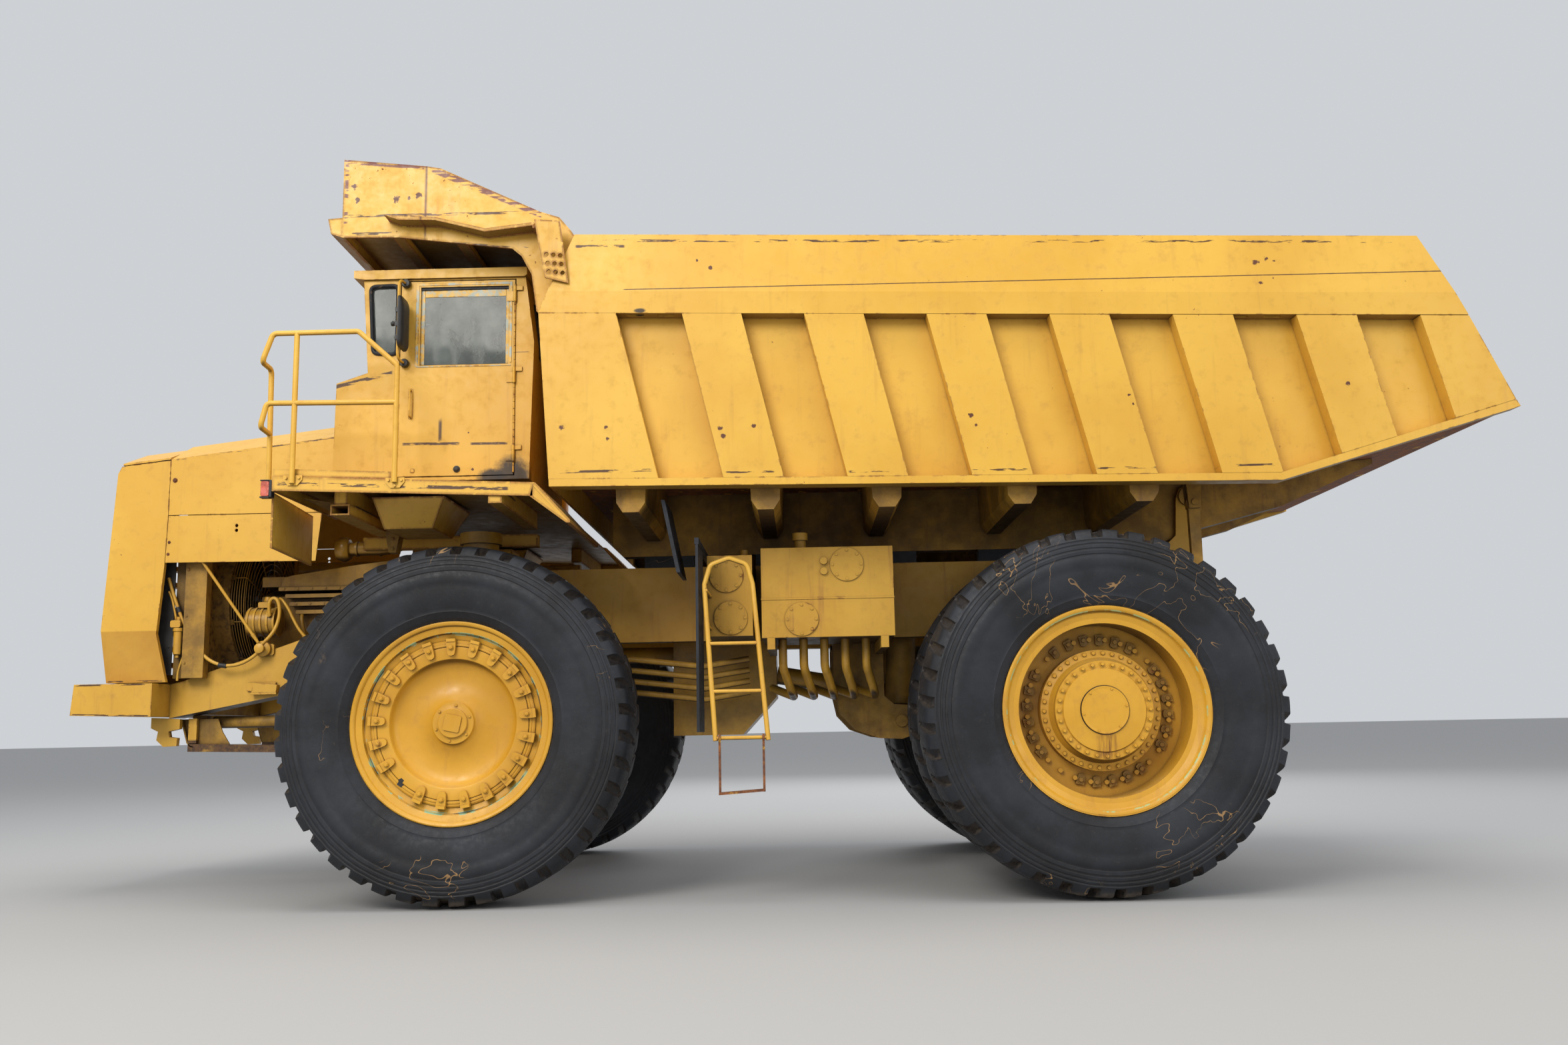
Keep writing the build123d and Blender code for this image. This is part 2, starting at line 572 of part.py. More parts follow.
def left_handrail():
    """Bent tube rail on the deck's outer edge, its corner turned inwards, with bolted feet on the fascia."""
    y = -DECK_EDGE_Y - 24
    radius = 20
    rear_x, front_x = -2630, -3385
    outer = bent_tube([(rear_x, y, 3062), (rear_x, y, 3945), (-2925, y, 4212), (-3565, y, 4210),
                       (-3640, y, 3995), (-3652, y + 210, 3992), (-3640, y + 210, 3060)], radius, 45)
    post = upright(front_x, y, 3070, 4210, radius)
    middle = bent_tube([(rear_x, y, 3665), (-3592, y, 3677), (-3634, y, 3500), (-3646, y + 210, 3492)], radius, 40)
    bracket = block(-3662, -3541, y + 185, y + 235, 3045, 3067)
    frame = outer + post + middle + bracket
    for x in (front_x, rear_x):
        z = deck_top(x) - 24
        plate = side_plate([(x - 70, z + 34), (x + 70, z + 34), (x + 70, z), (x + 34, z - 42), (x - 34, z - 42),
                            (x - 70, z)], -DECK_EDGE_Y - 10.2, -DECK_EDGE_Y - 0.2)
        for bolt_x, bolt_z in ((x - 48, z + 14), (x + 48, z + 14), (x, z - 28)):
            plate = plate + across(bolt_x, bolt_z, -DECK_EDGE_Y - 22, -DECK_EDGE_Y - 9, 10)
        frame = frame + plate
    return [frame]


def marker_lamps():
    """Amber marker at each front deck corner."""
    return both_sides([block(-3630, -3541, -DECK_EDGE_Y + 1, -DECK_EDGE_Y + 59, 2955, 3022)])


def air_cleaners():
    """Two intake canisters on the right deck, with their hoods."""
    solids = []
    for x in (-2900, -2300):
        z = deck_top(x - 210)
        solids.append(upright(x, 1700, z, z + 780, 210) - upright(x, 1700, z + 12, z + 768, 198))
        solids.append(upright(x, 1700, z + 781, z + 900, 250))
    return solids


def tank_cover(x, y, z):
    """Round bolted access cover on a tank's outer face."""
    cover = across(x, z, y - 14, y, 130)
    for px, pz in on_circle(8, 112, x, z):
        cover = cover + across(px, pz, y - 22, y - 13, 11)
    return cover


def fuel_tank():
    """Large box tank on the left rail, its covers, sight plugs, filler and straps."""
    face = -1700
    shell = block(20, 1050, face, -760, 1920, 2620) - block(28, 1042, face + 8, -768, 1928, 2612)
    seam = block(16, 1054, face - 6, face, 2214, 2226)
    solids = [shell, seam, tank_cover(690, face, 2480), tank_cover(330, face, 2060)]
    for z in (2510, 2430):
        solids.append(across(510, z, face - 25, face, 28))
    solids.append(upright(330, -1500, 2620, 2700, 45))
    solids.append(upright(330, -1500, 2701, 2760, 60))
    solids.extend([block(940, 1000, -1710, -760, 1830, 1919), block(60, 120, -1710, -760, 1830, 1919)])
    return solids


def hydraulic_tank():
    """Narrow box tank beside the fuel tank, with two covers and a breather."""
    face = -1700
    shell = block(-400, -50, face, -760, 1940, 2570) - block(-392, -58, face + 8, -768, 1948, 2562)
    solids = [shell, tank_cover(-250, face, 2410), tank_cover(-220, face, 2080)]
    solids.append(upright(-120, -1450, 2570, 2640, 30))
    return solids


def hoses():
    """Hydraulic hoses between the tanks, the pump and the hoist, each bent in large arcs."""
    solids = []
    for index in range(5):
        x = 175 + index * 165
        solids.append(bent_tube([(x, -1450, 1918), (x, -1450, 1700), (x + 60, -1300, 1520), (x + 80, -1050, 1480),
                                 (x - 100, -760, 1560)], 34, 90))
    for index in range(4):
        z = 1500 + index * 90
        y = -640 - index * 60
        solids.append(bent_tube([(-1750, y, z), (-1100, y - 30, z + 50), (-500, y, z - 20), (-120, y + 30, z + 40)],
                                26, 250))
    return solids


def mud_flaps():
    """Long rubber flap ahead of the tanks, the rock flap over it and their hanging rails."""
    left = [block(-450, -430, -2230, -1730, 1210, 2590),
            block(-456, -424, -2230, -1000, 2591, 2640),
            side_plate([(-700, 2925), (-672, 2925), (-560, 2380), (-588, 2380)], -2260, -1700)]
    return both_sides(left)


LADDER_FOOT_Y = -2300
LADDER_RUNG_Z = 1165


def access_ladder():
    """Ladder beside the left tanks: hooped side rails, rungs and stand-off arms."""
    def leg(x_low, x_high, z_top):
        return [(x_low, LADDER_FOOT_Y, 1145), (x_high, LADDER_FOOT_Y + 120, z_top)]
    low_left, high_left = leg(-310, -390, 2290)
    low_right, high_right = leg(70, -30, 2290)
    hoop = bent_tube([low_left, high_left, (-345, -2170, 2440), (-205, -2165, 2490), (-70, -2170, 2440),
                      high_right, low_right], 18, 60)
    rungs = []
    for z in (1850, 1500):
        t = (z - 1150) / (2290 - 1150)
        x0, x1 = -310 - 80 * t, 70 - 100 * t
        y = LADDER_FOOT_Y + 120 * t
        rungs.append(rod((x0 + 10, y, z), (x1 - 10, y, z), 14))
    rungs.append(rod((-305, LADDER_FOOT_Y, LADDER_RUNG_Z), (62, LADDER_FOOT_Y, LADDER_RUNG_Z), 14))
    frame = hoop
    for piece in rungs:
        frame = frame + piece
    for z in (2000, 2250):
        frame = frame + rod((-378, -2200, z), (-378, -1701, z), 14)
    return frame


def ladder_step():
    """Lower step whose side bars have eyes round the ladder's bottom rung."""
    y, z = LADDER_FOOT_Y, LADDER_RUNG_Z
    tread = side_plate([(-289, 762), (44, 784), (44, 802), (-289, 780)], y - 32, y + 32)
    step = tread
    for x in (-281, 36):
        eye = rod((x - 8, y, z), (x + 8, y, z), 26) - rod((x - 9, y, z), (x + 9, y, z), 14.06)
        step = step + eye + block(x - 8, x + 8, y - 11, y + 11, 781, z - 18)
    return step


# ---- cab ----
CAB_OUTLINE = [(-3240, 3150), (-3230, 3930), (-2990, 4010), (-3040, 4755), (-1770, 4755), (-1700, 4230),
               (-1730, 3150)]
CAB_INSIDE = [(-3195, 3200), (-3186, 3895), (-2943, 3975), (-2992, 4715), (-1810, 4715), (-1746, 4230),
              (-1775, 3200)]
DOOR_BOTTOM_Z = 3185
DOOR_TOP_Z = 4735
WINDOW = (-2590, -1900, 4060, 4690)


QUARTER_LIGHT = [(-2950, 4165), (-2768, 4150), (-2768, 4712), (-2984, 4705)]


def cab_wrap():
    """Welded panels that run round the cab between its side walls: front, screen, roof, rear and floor."""
    panels = []
    count = len(CAB_OUTLINE)
    for index in range(count):
        after = (index + 1) % count
        panel = side_plate([CAB_OUTLINE[index], CAB_OUTLINE[after], CAB_INSIDE[after], CAB_INSIDE[index]],
                           CAB_OUTER_Y + CAB_WALL, CAB_INNER_Y - CAB_WALL)
        panel = panel - block(-3100, -2900, -1900, -800, 4110, 4660)
        panels.append(panel - block(-1850, -1650, -1850, -850, 4150, 4600))
    return panels


def cab_left_wall():
    """Left wall in four panels round the door: front with its quarter light, rear, sill and header."""
    wall = side_plate(CAB_OUTLINE, CAB_OUTER_Y, CAB_OUTER_Y + CAB_WALL)
    wall = wall - side_plate(QUARTER_LIGHT, CAB_OUTER_Y - 10, CAB_OUTER_Y + CAB_WALL + 5)
    front, rear = DOOR_FRONT_X - DOOR_GAP, DOOR_HINGE_X + DOOR_GAP
    low, high = DOOR_BOTTOM_Z - DOOR_GAP, DOOR_TOP_Z + DOOR_GAP
    parts = [block(-3300, front, -2100, -2000, 3100, 4800), block(rear, -1650, -2100, -2000, 3100, 4800),
             block(front, rear, -2100, -2000, 3100, low), block(front, rear, -2100, -2000, high, 4800)]
    return [wall & part for part in parts]


def cab_shell():
    """Left wall, the panels round the cab, the right wall with its window, and the roof slab."""
    right = side_plate(CAB_OUTLINE, CAB_INNER_Y - CAB_WALL, CAB_INNER_Y)
    right = right - block(-2800, -1950, CAB_INNER_Y - 60, CAB_INNER_Y + 10, 4100, 4660)
    roof = side_plate([(-3112, 4770), (-3112, 4830), (-1757, 4830), (-1757, 4770), (-1775, 4756),
                       (-3035, 4756)], CAB_OUTER_Y - 25, CAB_INNER_Y + 25)
    return cab_left_wall() + cab_wrap() + [right, roof]


def cab_glass():
    """Windscreen, quarter light, rear and right-hand panes, set in the middle of the walls."""
    quarter = side_plate(QUARTER_LIGHT, CAB_OUTER_Y + 15, CAB_OUTER_Y + 21)
    screen = side_plate([(-2978, 4110), (-2972, 4110), (-3009, 4660), (-3015, 4660)], -1900, -800)
    rear = side_plate([(-1712, 4150), (-1706, 4150), (-1706, 4230), (-1758, 4600), (-1764, 4600), (-1712, 4228)],
                      -1850, -850)
    right = block(-2800, -1950, CAB_INNER_Y - 26, CAB_INNER_Y - 20, 4100, 4660)
    return [quarter, screen, rear, right]


def cab_door():
    """Door leaf with window opening and guide slot, hinges, grab handle and mirror arm."""
    y0, y1 = CAB_OUTER_Y, CAB_OUTER_Y + CAB_WALL
    leaf = block(DOOR_FRONT_X, DOOR_HINGE_X - 2, y0, y1, DOOR_BOTTOM_Z, DOOR_TOP_Z)
    x0, x1, z0, z1 = WINDOW
    leaf = leaf - block(x0, x1, y0 - 5, y1 + 5, z0, z1)
    leaf = leaf - block(x0 - 16, x1 + 16, y0 + 16, y0 + 32, z0 - 680, z1 + 8)
    handle = bent_tube([(-2650, y0, 3860), (-2650, y0 - 38, 3860), (-2650, y0 - 38, 3650), (-2650, y0, 3650)],
                       8, 16)
    solids = [leaf, handle]
    for z in (3330, 3950, 4600):
        solids.append(upright(DOOR_HINGE_X, y0 - 14, z - 45, z + 45, 12) - upright(
            DOOR_HINGE_X, y0 - 14, z - 50, z + 50, 6.05) + block(
            DOOR_HINGE_X - 60, DOOR_HINGE_X - 11, y0 - 8, y0, z - 40, z + 40))
    arm = bent_tube([(-2700, y0, 4715), (-2720, y0 - 140, 4715), (-2720, y0 - 140, 4075), (-2700, y0, 4075)],
                    11, 60)
    solids.append(arm)
    return solids


def door_hinge_pins():
    """Fixed pins and leaves of the door hinges, on the cab side."""
    solids = []
    y = CAB_OUTER_Y - 14
    for z in (3330, 3950, 4600):
        solids.append(upright(DOOR_HINGE_X, y, z - 52, z + 80, 6))
        solids[-1] = solids[-1] + upright(DOOR_HINGE_X, y, z + 46, z + 80, 12) + block(
            DOOR_HINGE_X + 10, DOOR_HINGE_X + 60, y, CAB_OUTER_Y, z + 46, z + 80)
    return solids


def door_window():
    """Framed door glass that drops inside the door."""
    x0, x1, z0, z1 = WINDOW
    y = CAB_OUTER_Y + 17
    frame = block(x0 - 14, x1 + 14, y, y + 14, z0 - 20, z1 + 5)
    frame = frame - block(x0 + 22, x1 - 22, y - 1, y + 15, z0 + 22, z1 - 22)
    pane = block(x0 + 22, x1 - 22, y + 4, y + 10, z0 + 22, z1 - 22)
    return [frame, pane]


def door_mirror():
    """Mirror head that swivels on the door's mirror arm."""
    x, y = -2720, CAB_OUTER_Y - 140
    clamp = upright(x, y, 4230, 4480, 20) - upright(x, y, 4200, 4500, 11.06)
    head = block(x + 24, x + 62, y - 110, y + 110, 4150, 4560)
    head = fillet(head.edges().filter_by(Axis.X), 40)
    neck = block(x + 14, x + 30, y - 15, y + 15, 4240, 4470) - upright(x, y, 4200, 4500, 15)
    return clamp + neck + head


def driver_seat():
    """Seat base, cushion and back."""
    base = block(-2450, -2050, -1600, -1200, 3201, 3560)
    cushion = block(-2530, -2020, -1660, -1140, 3561, 3680)
    back = side_plate([(-2060, 3682), (-1930, 3682), (-1860, 4250), (-1960, 4250)], -1650, -1150)
    soft = [fillet(cushion.edges(), 30), fillet(back.edges(), 25)]
    return [base], soft


def cab_console():
    """Instrument panel, steering column and hoist lever stand."""
    panel = side_plate([(-3180, 3205), (-2960, 3205), (-2850, 3900), (-2935, 3965), (-3180, 3880)], -1900, -800)
    column = rod((-2900, -1400, 3700), (-2660, -1400, 3880), 35)
    stand = block(-2500, -2200, -1090, -960, 3201, 3600)
    return [panel + column, stand]


STEERING_CENTRE = (-2634, -1400, 3899.5)
STEERING_TILT = math.degrees(math.atan2(240, 180))


def steering_wheel():
    """Rim, spokes and boss on the raked column."""
    rim = Torus(215, 14)
    boss = Cylinder(42, 40)
    wheel = rim + boss
    for index in range(3):
        wheel = wheel + Rot(0, 0, 120 * index + 30) * Pos(118, 0, 0) * Box(200, 26, 10)
    return Pos(*STEERING_CENTRE) * Rot(0, STEERING_TILT, 0) * wheel


# ---- wheels ----
CLAMP_COUNT = 21
CLAMP_PHASE = 91.7
MISSING_CLAMP = 8


def tyre(x, y, outward):
    """Hollow tyre casing."""
    half = [(BEAD_RADIUS, -240), (694, -262), (712, -288), (745, -290), (860, -350),
            (1000, -TYRE_HALF_WIDTH), (1215, -360), (TYRE_RADIUS - 35, -335), (TYRE_RADIUS - 7, -280), (TYRE_RADIUS, -150)]
    inner = [(BEAD_RADIUS, -200), (800, -275), (1000, -300), (1180, -275), (1225, -150)]
    profile = half + [(r, -d) for r, d in reversed(half)]
    profile = profile + [(r, -d) for r, d in inner] + list(reversed(inner))
    return turned(profile, x, y, AXLE_Z, outward)


def rim(x, y, outward):
    """Rim base, plain inner side ring, and outer side ring with the sloping gutter behind its lip."""
    lip, bead, bore = RIM_LIP_RADIUS, BEAD_RADIUS, RIM_BORE_RADIUS
    base = [(bore, -229.5), (bead, -229.5), (bead, 229.5), (bore, 229.5)]
    inner = [(bore, -300), (lip, -300), (lip, -290), (712, -288), (694, -262), (bead, -240), (bead, -230),
             (bore, -230)]
    outer = [(bore, 230), (bead, 230), (bead, 240), (694, 262), (712, 288), (lip, 290), (lip, 300),
             (716, 297), (704, 290), (690, 268), (650, 250), (bore, 245)]
    return [turned(profile, x, y, AXLE_Z, outward) for profile in (base, inner, outer)]


def front_wheel(side):
    """Rim, dished hub, wedge clamps, hub bolts and the square end plate."""
    x, y = FRONT_AXLE_X, side * FRONT_TRACK_HALF
    hub = turned([(615, 215), (615, 243), (470, 243), (455, 225), (430, 180), (330, 165), (200, 185), (152, 215),
                  (150, 240), (107, 240), (107, 262), (0, 262), (0, 142), (100.06, 142), (100.06, -300),
                  (190, -300), (210, 100), (330, 140), (440, 155), (475, 215)], x, y, AXLE_Z, side)
    solids = rim(x, y, side)
    for index in range(CLAMP_COUNT):
        angle = CLAMP_PHASE + index * 360 / CLAMP_COUNT
        turn = Pos(x, y, AXLE_Z) * Rot(0, -angle, 0)
        if index == MISSING_CLAMP:
            hub = hub - turn * Pos(553, side * 230, 0) * Rot(90, 0, 0) * Cylinder(26, 80)
            continue
        wedge = turn * Pos(550, side * 259, 0) * Box(136, 32, 62)
        head = turn * Pos(553, side * 286, 0) * Rot(90, 0, 0) * Cylinder(21, 22)
        solids.extend([wedge, head])
    bolts = []
    for px, pz in on_circle(6, 129, x, AXLE_Z, 20):
        bolts.append(across(px, pz, y + side * 236, y + side * 254, 10))
    solids.insert(0, hub.fuse(*bolts))
    solids.append(Pos(x, y + side * 267, AXLE_Z) * Rot(0, 12, 0) * Box(120, 10, 120))
    return solids


def rear_wheel(side):
    """Two rims with the spacer between, the planetary hub and its rings of bolts."""
    x, y = REAR_AXLE_X, side * OUTER_DUAL_Y
    hub = turned([(0, 234), (170, 234), (172, 222), (293, 216), (295, 206), (350, 204), (352, 150), (378, 100),
                  (433, 84), (433, -30), (470, -36), (615, -36), (615, -66), (440, -80), (440, -1140),
                  (150.06, -1140), (150.06, -104), (0, -104)], x, y, AXLE_Z, side)
    spacer = turned([(600, -300), (640, -300), (640, -580), (600, -580)], x, y, AXLE_Z, side)
    inner_y = side * INNER_DUAL_Y
    rings = [(6, 158, 230, 10, 7, 10), (28, 325, 200, 21, 11, 0), (38, 410, 84, 19, 12, 0)]
    bolts = []
    for count, radius, depth, height, size, phase in rings:
        for px, pz in on_circle(count, radius, x, AXLE_Z, phase):
            bolts.append(across(px, pz, y + side * depth, y + side * (depth + height), size))
    solids = [hub.fuse(*bolts), *rim(x, y, side), *rim(x, inner_y, -side), spacer]
    positions = on_circle(28, 515, x, AXLE_Z, 4)
    for index, (px, pz) in enumerate(positions):
        if index != 9:
            solids.append(across(px, pz, y - side * 36, y - side * 6, 17))
    return solids


# ---- steering and hoist ----
STEER_ARM = 550
STEER_Z = 1370
STEER_ANCHOR = (-4790, 620)


def steering_knuckle(side):
    """Strut rod, wheel spindle and steering arm that turn together about the kingpin."""
    x, y = FRONT_AXLE_X, side * KINGPIN_Y
    strut = upright(x, y, 1180, 2620, 95)
    carrier = upright(x, y, 1160, 1560, 138)
    spindle = across(x, AXLE_Z, y, side * 1715, 160) + across(x, AXLE_Z, y, side * (FRONT_TRACK_HALF + 138), 100)
    arm = block(x - 70, x + 70, side * (KINGPIN_Y - STEER_ARM), y, 1235, 1300)
    end = upright(x, side * (KINGPIN_Y - STEER_ARM), 1235, 1300, 110)
    return strut + carrier + spindle + arm + end


def steering_direction(side):
    """Unit vector from the cylinder's frame pin to its rod end."""
    ax, ay = STEER_ANCHOR
    along = Vector(FRONT_AXLE_X - ax, side * (KINGPIN_Y - STEER_ARM - ay), 0)
    return Vector(ax, side * ay, STEER_Z), along.normalized(), along.length


def steering_barrel(side):
    """Cylinder barrel with its eye on the frame pin."""
    start, along, _ = steering_direction(side)
    barrel = rod(start + along * 110, start + along * 1500, 50) - rod(
        start + along * 140, start + along * 1440, 38.05)
    barrel = barrel - rod(start + along * 1430, start + along * 1510, 28.05)
    eye = upright(start.X, start.Y, STEER_Z - 28, STEER_Z + 28, 60) + rod(start, start + along * 115, 27)
    return barrel + eye - upright(start.X, start.Y, STEER_Z - 60, STEER_Z + 60, 25.05)


def steering_rod(side):
    """Cylinder piston, rod and rod end."""
    start, along, length = steering_direction(side)
    piston = rod(start + along * 1000, start + along * 1090, 38)
    shaft = rod(start + along * 1080, start + along * length, 28)
    end = start + along * length
    eye = upright(end.X, end.Y, STEER_Z - 32, STEER_Z + 32, 58)
    return piston + shaft + eye


def steering_anchors():
    """Brackets under the horns with the pins of the steering cylinders."""
    ax, ay = STEER_ANCHOR
    left = [upright(ax, -ay, STEER_Z - 45, STEER_Z + 29, 25),
            block(ax - 60, ax + 60, -ay - 60, -ay + 60, STEER_Z + 29.5, STEER_Z + 60)]
    return both_sides([left[0] + left[1]])


def hoist_direction(side):
    """Lower pin, unit vector along the hoist and its closed length."""
    start = Vector(HOIST_LOWER[0], side * HOIST_Y, HOIST_LOWER[1])
    along = Vector(HOIST_UPPER[0] - HOIST_LOWER[0], 0, HOIST_UPPER[1] - HOIST_LOWER[1])
    return start, along.normalized(), along.length


def hoist_barrel(side):
    """Outer tube and lower eye."""
    start, along, _ = hoist_direction(side)
    tube = rod(start + along * 150, start + along * 1330, 125)
    tube = tube - rod(start + along * 180, start + along * 1335, 105.1)
    eye = across(start.X, start.Z, start.Y - 60, start.Y + 60, 100) + rod(start, start + along * 160, 70)
    return tube + eye - across(start.X, start.Z, start.Y - 70, start.Y + 70, 50.06)


def hoist_sleeve(side):
    """Middle telescopic stage."""
    start, along, _ = hoist_direction(side)
    tube = rod(start + along * 190, start + along * 1360, 105)
    return tube - rod(start + along * 220, start + along * 1365, 80.1)


def hoist_rod(side):
    """Inner stage with the head that works between the body lugs."""
    start, along, length = hoist_direction(side)
    shaft = rod(start + along * 230, start + along * length, 80)
    end = start + along * length
    head = across(end.X, end.Z, end.Y - 80, end.Y + 80, 85)
    return shaft + head


def rock_ejector(side):
    """Bar that hangs between the dual tyres, with its hinge eye."""
    x, z, y = 3390, 2895, side * 1766
    bar = side_plate([(x - 45, z), (x + 45, z), (x + 35, 1960), (x - 35, 1960)], y - 28, y + 28)
    eye = across(x, z, y - 28, y + 28, 60)
    return bar + eye - across(x, z, y - 40, y + 40, 25.05)


def ejector_hangers():
    """Lugs and pins under the body for the rock ejectors."""
    x, z, y = 3390, 2895, -1766
    left = [across(x, z, y - 62, y + 62, 25)]
    for offset in (-52, 32):
        left[0] = left[0] + side_plate([(x - 70, 3224), (x + 70, 3224), (x + 45, z - 45), (x - 45, z - 45)],
                                       y + offset, y + offset + 20)
    return both_sides(left)


# ---- assembly ----
def make_chassis():
    add("frame_rails", both_sides(left_frame_rail() + left_frame_ears()))
    add("frame_crossmembers", frame_crossmembers(), steering_anchors())
    add("frame_crossmembers", both_sides(left_hinge_pin()))
    add("front_bumper", bumper())
    add("radiator_guard", radiator_guard())
    add("radiator", radiator())
    add("hood", hood())
    add("engine", engine())
    add("transmission", transmission())
    add("decks", both_sides(left_deck()), centre_deck())
    add("handrails", both_sides(left_handrail()))
    add("marker_lamps", marker_lamps())
    add("air_cleaners", air_cleaners())
    add("fuel_tank", fuel_tank())
    add("hydraulic_tank", hydraulic_tank())
    add("hydraulic_hoses", hoses())
    add("mud_flaps", mud_flaps())
    add("access_ladder", access_ladder())
    add("hoist_brackets", both_sides(left_hoist_bracket()))
    add("rear_axle_housing", rear_axle_housing())
    add("suspension_struts", suspension_struts())
    add("body_pads", body_pads())


def make_cab():
    seat_base, seat_soft = driver_seat()
    add("cab_shell", cab_shell(), door_hinge_pins())
    add("cab_glass", cab_glass())
    add("driver_seat", seat_soft)
    add("cab_console", cab_console(), seat_base)
    add("cab_door", cab_door())
    add("door_window", door_window())
    add("door_mirror", door_mirror())
    add("steering_wheel", steering_wheel())


def make_moving_parts():
    add("radiator_fan", radiator_fan())
    add("ladder_step", ladder_step())
    for side, name in ((-1, "left"), (1, "right")):
        add(name + "_front_tyre", tyre(FRONT_AXLE_X, side * FRONT_TRACK_HALF, side))
        add(name + "_front_wheel", front_wheel(side))
        add(name + "_rear_tyres", tyre(REAR_AXLE_X, side * OUTER_DUAL_Y, side),
            tyre(REAR_AXLE_X, side * INNER_DUAL_Y, side))
        add(name + "_rear_wheel", rear_wheel(side))
        add(name + "_steering_knuckle", steering_knuckle(side))
        add(name + "_steering_barrel", steering_barrel(side))
        add(name + "_steering_rod", steering_rod(side))
        add(name + "_hoist_barrel", hoist_barrel(side))
        add(name + "_hoist_sleeve", hoist_sleeve(side))
        add(name + "_hoist_rod", hoist_rod(side))
        add(name + "_rock_ejector", rock_ejector(side))


make_dump_body()
make_chassis()
make_cab()
make_moving_parts()

os.makedirs("parts", exist_ok=True)
for part_name, solids in PARTS.items():
    node = Compound(label=part_name, children=solids)
    export_step(node, os.path.join("parts", part_name + ".step"))
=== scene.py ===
import json
import math
import random

import bmesh
import bpy
from mathutils import Matrix, Vector, noise


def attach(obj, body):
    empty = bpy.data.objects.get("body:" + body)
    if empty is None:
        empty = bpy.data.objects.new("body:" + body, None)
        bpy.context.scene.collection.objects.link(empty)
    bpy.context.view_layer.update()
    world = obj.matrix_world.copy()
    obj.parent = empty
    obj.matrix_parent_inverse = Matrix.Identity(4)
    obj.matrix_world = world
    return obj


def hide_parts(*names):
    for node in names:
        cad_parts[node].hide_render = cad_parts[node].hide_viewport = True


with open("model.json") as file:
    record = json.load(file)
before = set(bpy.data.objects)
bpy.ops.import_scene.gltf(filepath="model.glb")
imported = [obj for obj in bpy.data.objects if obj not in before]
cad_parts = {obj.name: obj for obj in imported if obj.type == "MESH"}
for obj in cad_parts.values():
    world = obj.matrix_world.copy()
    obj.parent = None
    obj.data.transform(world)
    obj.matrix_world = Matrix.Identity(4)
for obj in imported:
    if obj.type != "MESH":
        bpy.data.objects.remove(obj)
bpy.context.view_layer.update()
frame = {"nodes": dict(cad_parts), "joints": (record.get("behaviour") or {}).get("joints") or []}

nodes = frame["nodes"]
joints = {joint["name"]: joint for joint in frame["joints"]}
random.seed(7)


# ---------------------------------------------------------------- camera, floor and light
CAMERA_PLACE = Vector((0.324, -11.967, 1.223))
CAMERA_YAW = -0.650
CAMERA_PITCH = 8.848
CAMERA_ROLL = -1.143
CAMERA_LENS = 30.416


def make_camera():
    """Low camera beside the truck, tilted up a little."""
    yaw, pitch, roll = (math.radians(a) for a in (CAMERA_YAW, CAMERA_PITCH, CAMERA_ROLL))
    ahead = Vector((math.sin(yaw) * math.cos(pitch), math.cos(yaw) * math.cos(pitch), math.sin(pitch)))
    level = Vector((math.cos(yaw), -math.sin(yaw), 0))
    above = level.cross(ahead)
    right = level * math.cos(roll) + above * math.sin(roll)
    up = above * math.cos(roll) - level * math.sin(roll)
    data = bpy.data.cameras.new("camera")
    data.lens = CAMERA_LENS
    data.sensor_width = 36
    data.clip_end = 1000
    camera = bpy.data.objects.new("camera", data)
    turn = Matrix((right, up, -ahead)).transposed().to_4x4()
    camera.matrix_world = Matrix.Translation(CAMERA_PLACE) @ turn
    bpy.context.scene.collection.objects.link(camera)
    bpy.context.scene.camera = camera


def add_area(name, place, target, size, power, colour):
    """A soft square light aimed at a point."""
    data = bpy.data.lights.new(name, "AREA")
    data.shape = "SQUARE"
    data.size = size
    data.energy = power
    data.color = colour
    lamp = bpy.data.objects.new(name, data)
    lamp.location = place
    lamp.rotation_mode = "QUATERNION"
    lamp.rotation_quaternion = (Vector(target) - Vector(place)).to_track_quat("-Z", "Y")
    bpy.context.scene.collection.objects.link(lamp)


def make_light():
    """Pale surroundings, a broad key light over the left front and a softer fill."""
    world = bpy.data.worlds.new("world")
    world.use_nodes = True
    background = world.node_tree.nodes["Background"]
    background.inputs["Color"].default_value = (0.93, 0.96, 1.0, 1)
    background.inputs["Strength"].default_value = 0.66
    bpy.context.scene.world = world
    add_area("key_light", (-8, -17, 13), (0, 0, 2.6), 8, 2300, (1.0, 0.96, 0.88))
    add_area("sky_light", (0, -3, 18), (0, 0, 2), 14, 1700, (1.0, 0.98, 0.95))
    add_area("fill_light", (14, -13, 8), (1, 0, 2.5), 10, 500, (1.0, 0.98, 0.95))
    add_area("back_light", (4, 17, 12), (0, 0, 2), 10, 1300, (0.97, 0.98, 1.0))


def make_floor():
    """Wide pale floor at ground level."""
    mesh = bpy.data.meshes.new("floor")
    grid = bmesh.new()
    bmesh.ops.create_circle(grid, cap_ends=True, segments=96, radius=400)
    grid.to_mesh(mesh)
    grid.free()
    floor = bpy.data.objects.new("floor", mesh)
    bpy.context.scene.collection.objects.link(floor)
    material = bpy.data.materials.new("floor")
    material.use_nodes = True
    shader = material.node_tree.nodes["Principled BSDF"]
    shader.inputs["Base Color"].default_value = (0.40, 0.40, 0.40, 1)
    shader.inputs["Roughness"].default_value = 0.9
    mesh.materials.append(material)


bpy.context.scene.view_settings.view_transform = "Standard"
make_camera()
make_light()
make_floor()


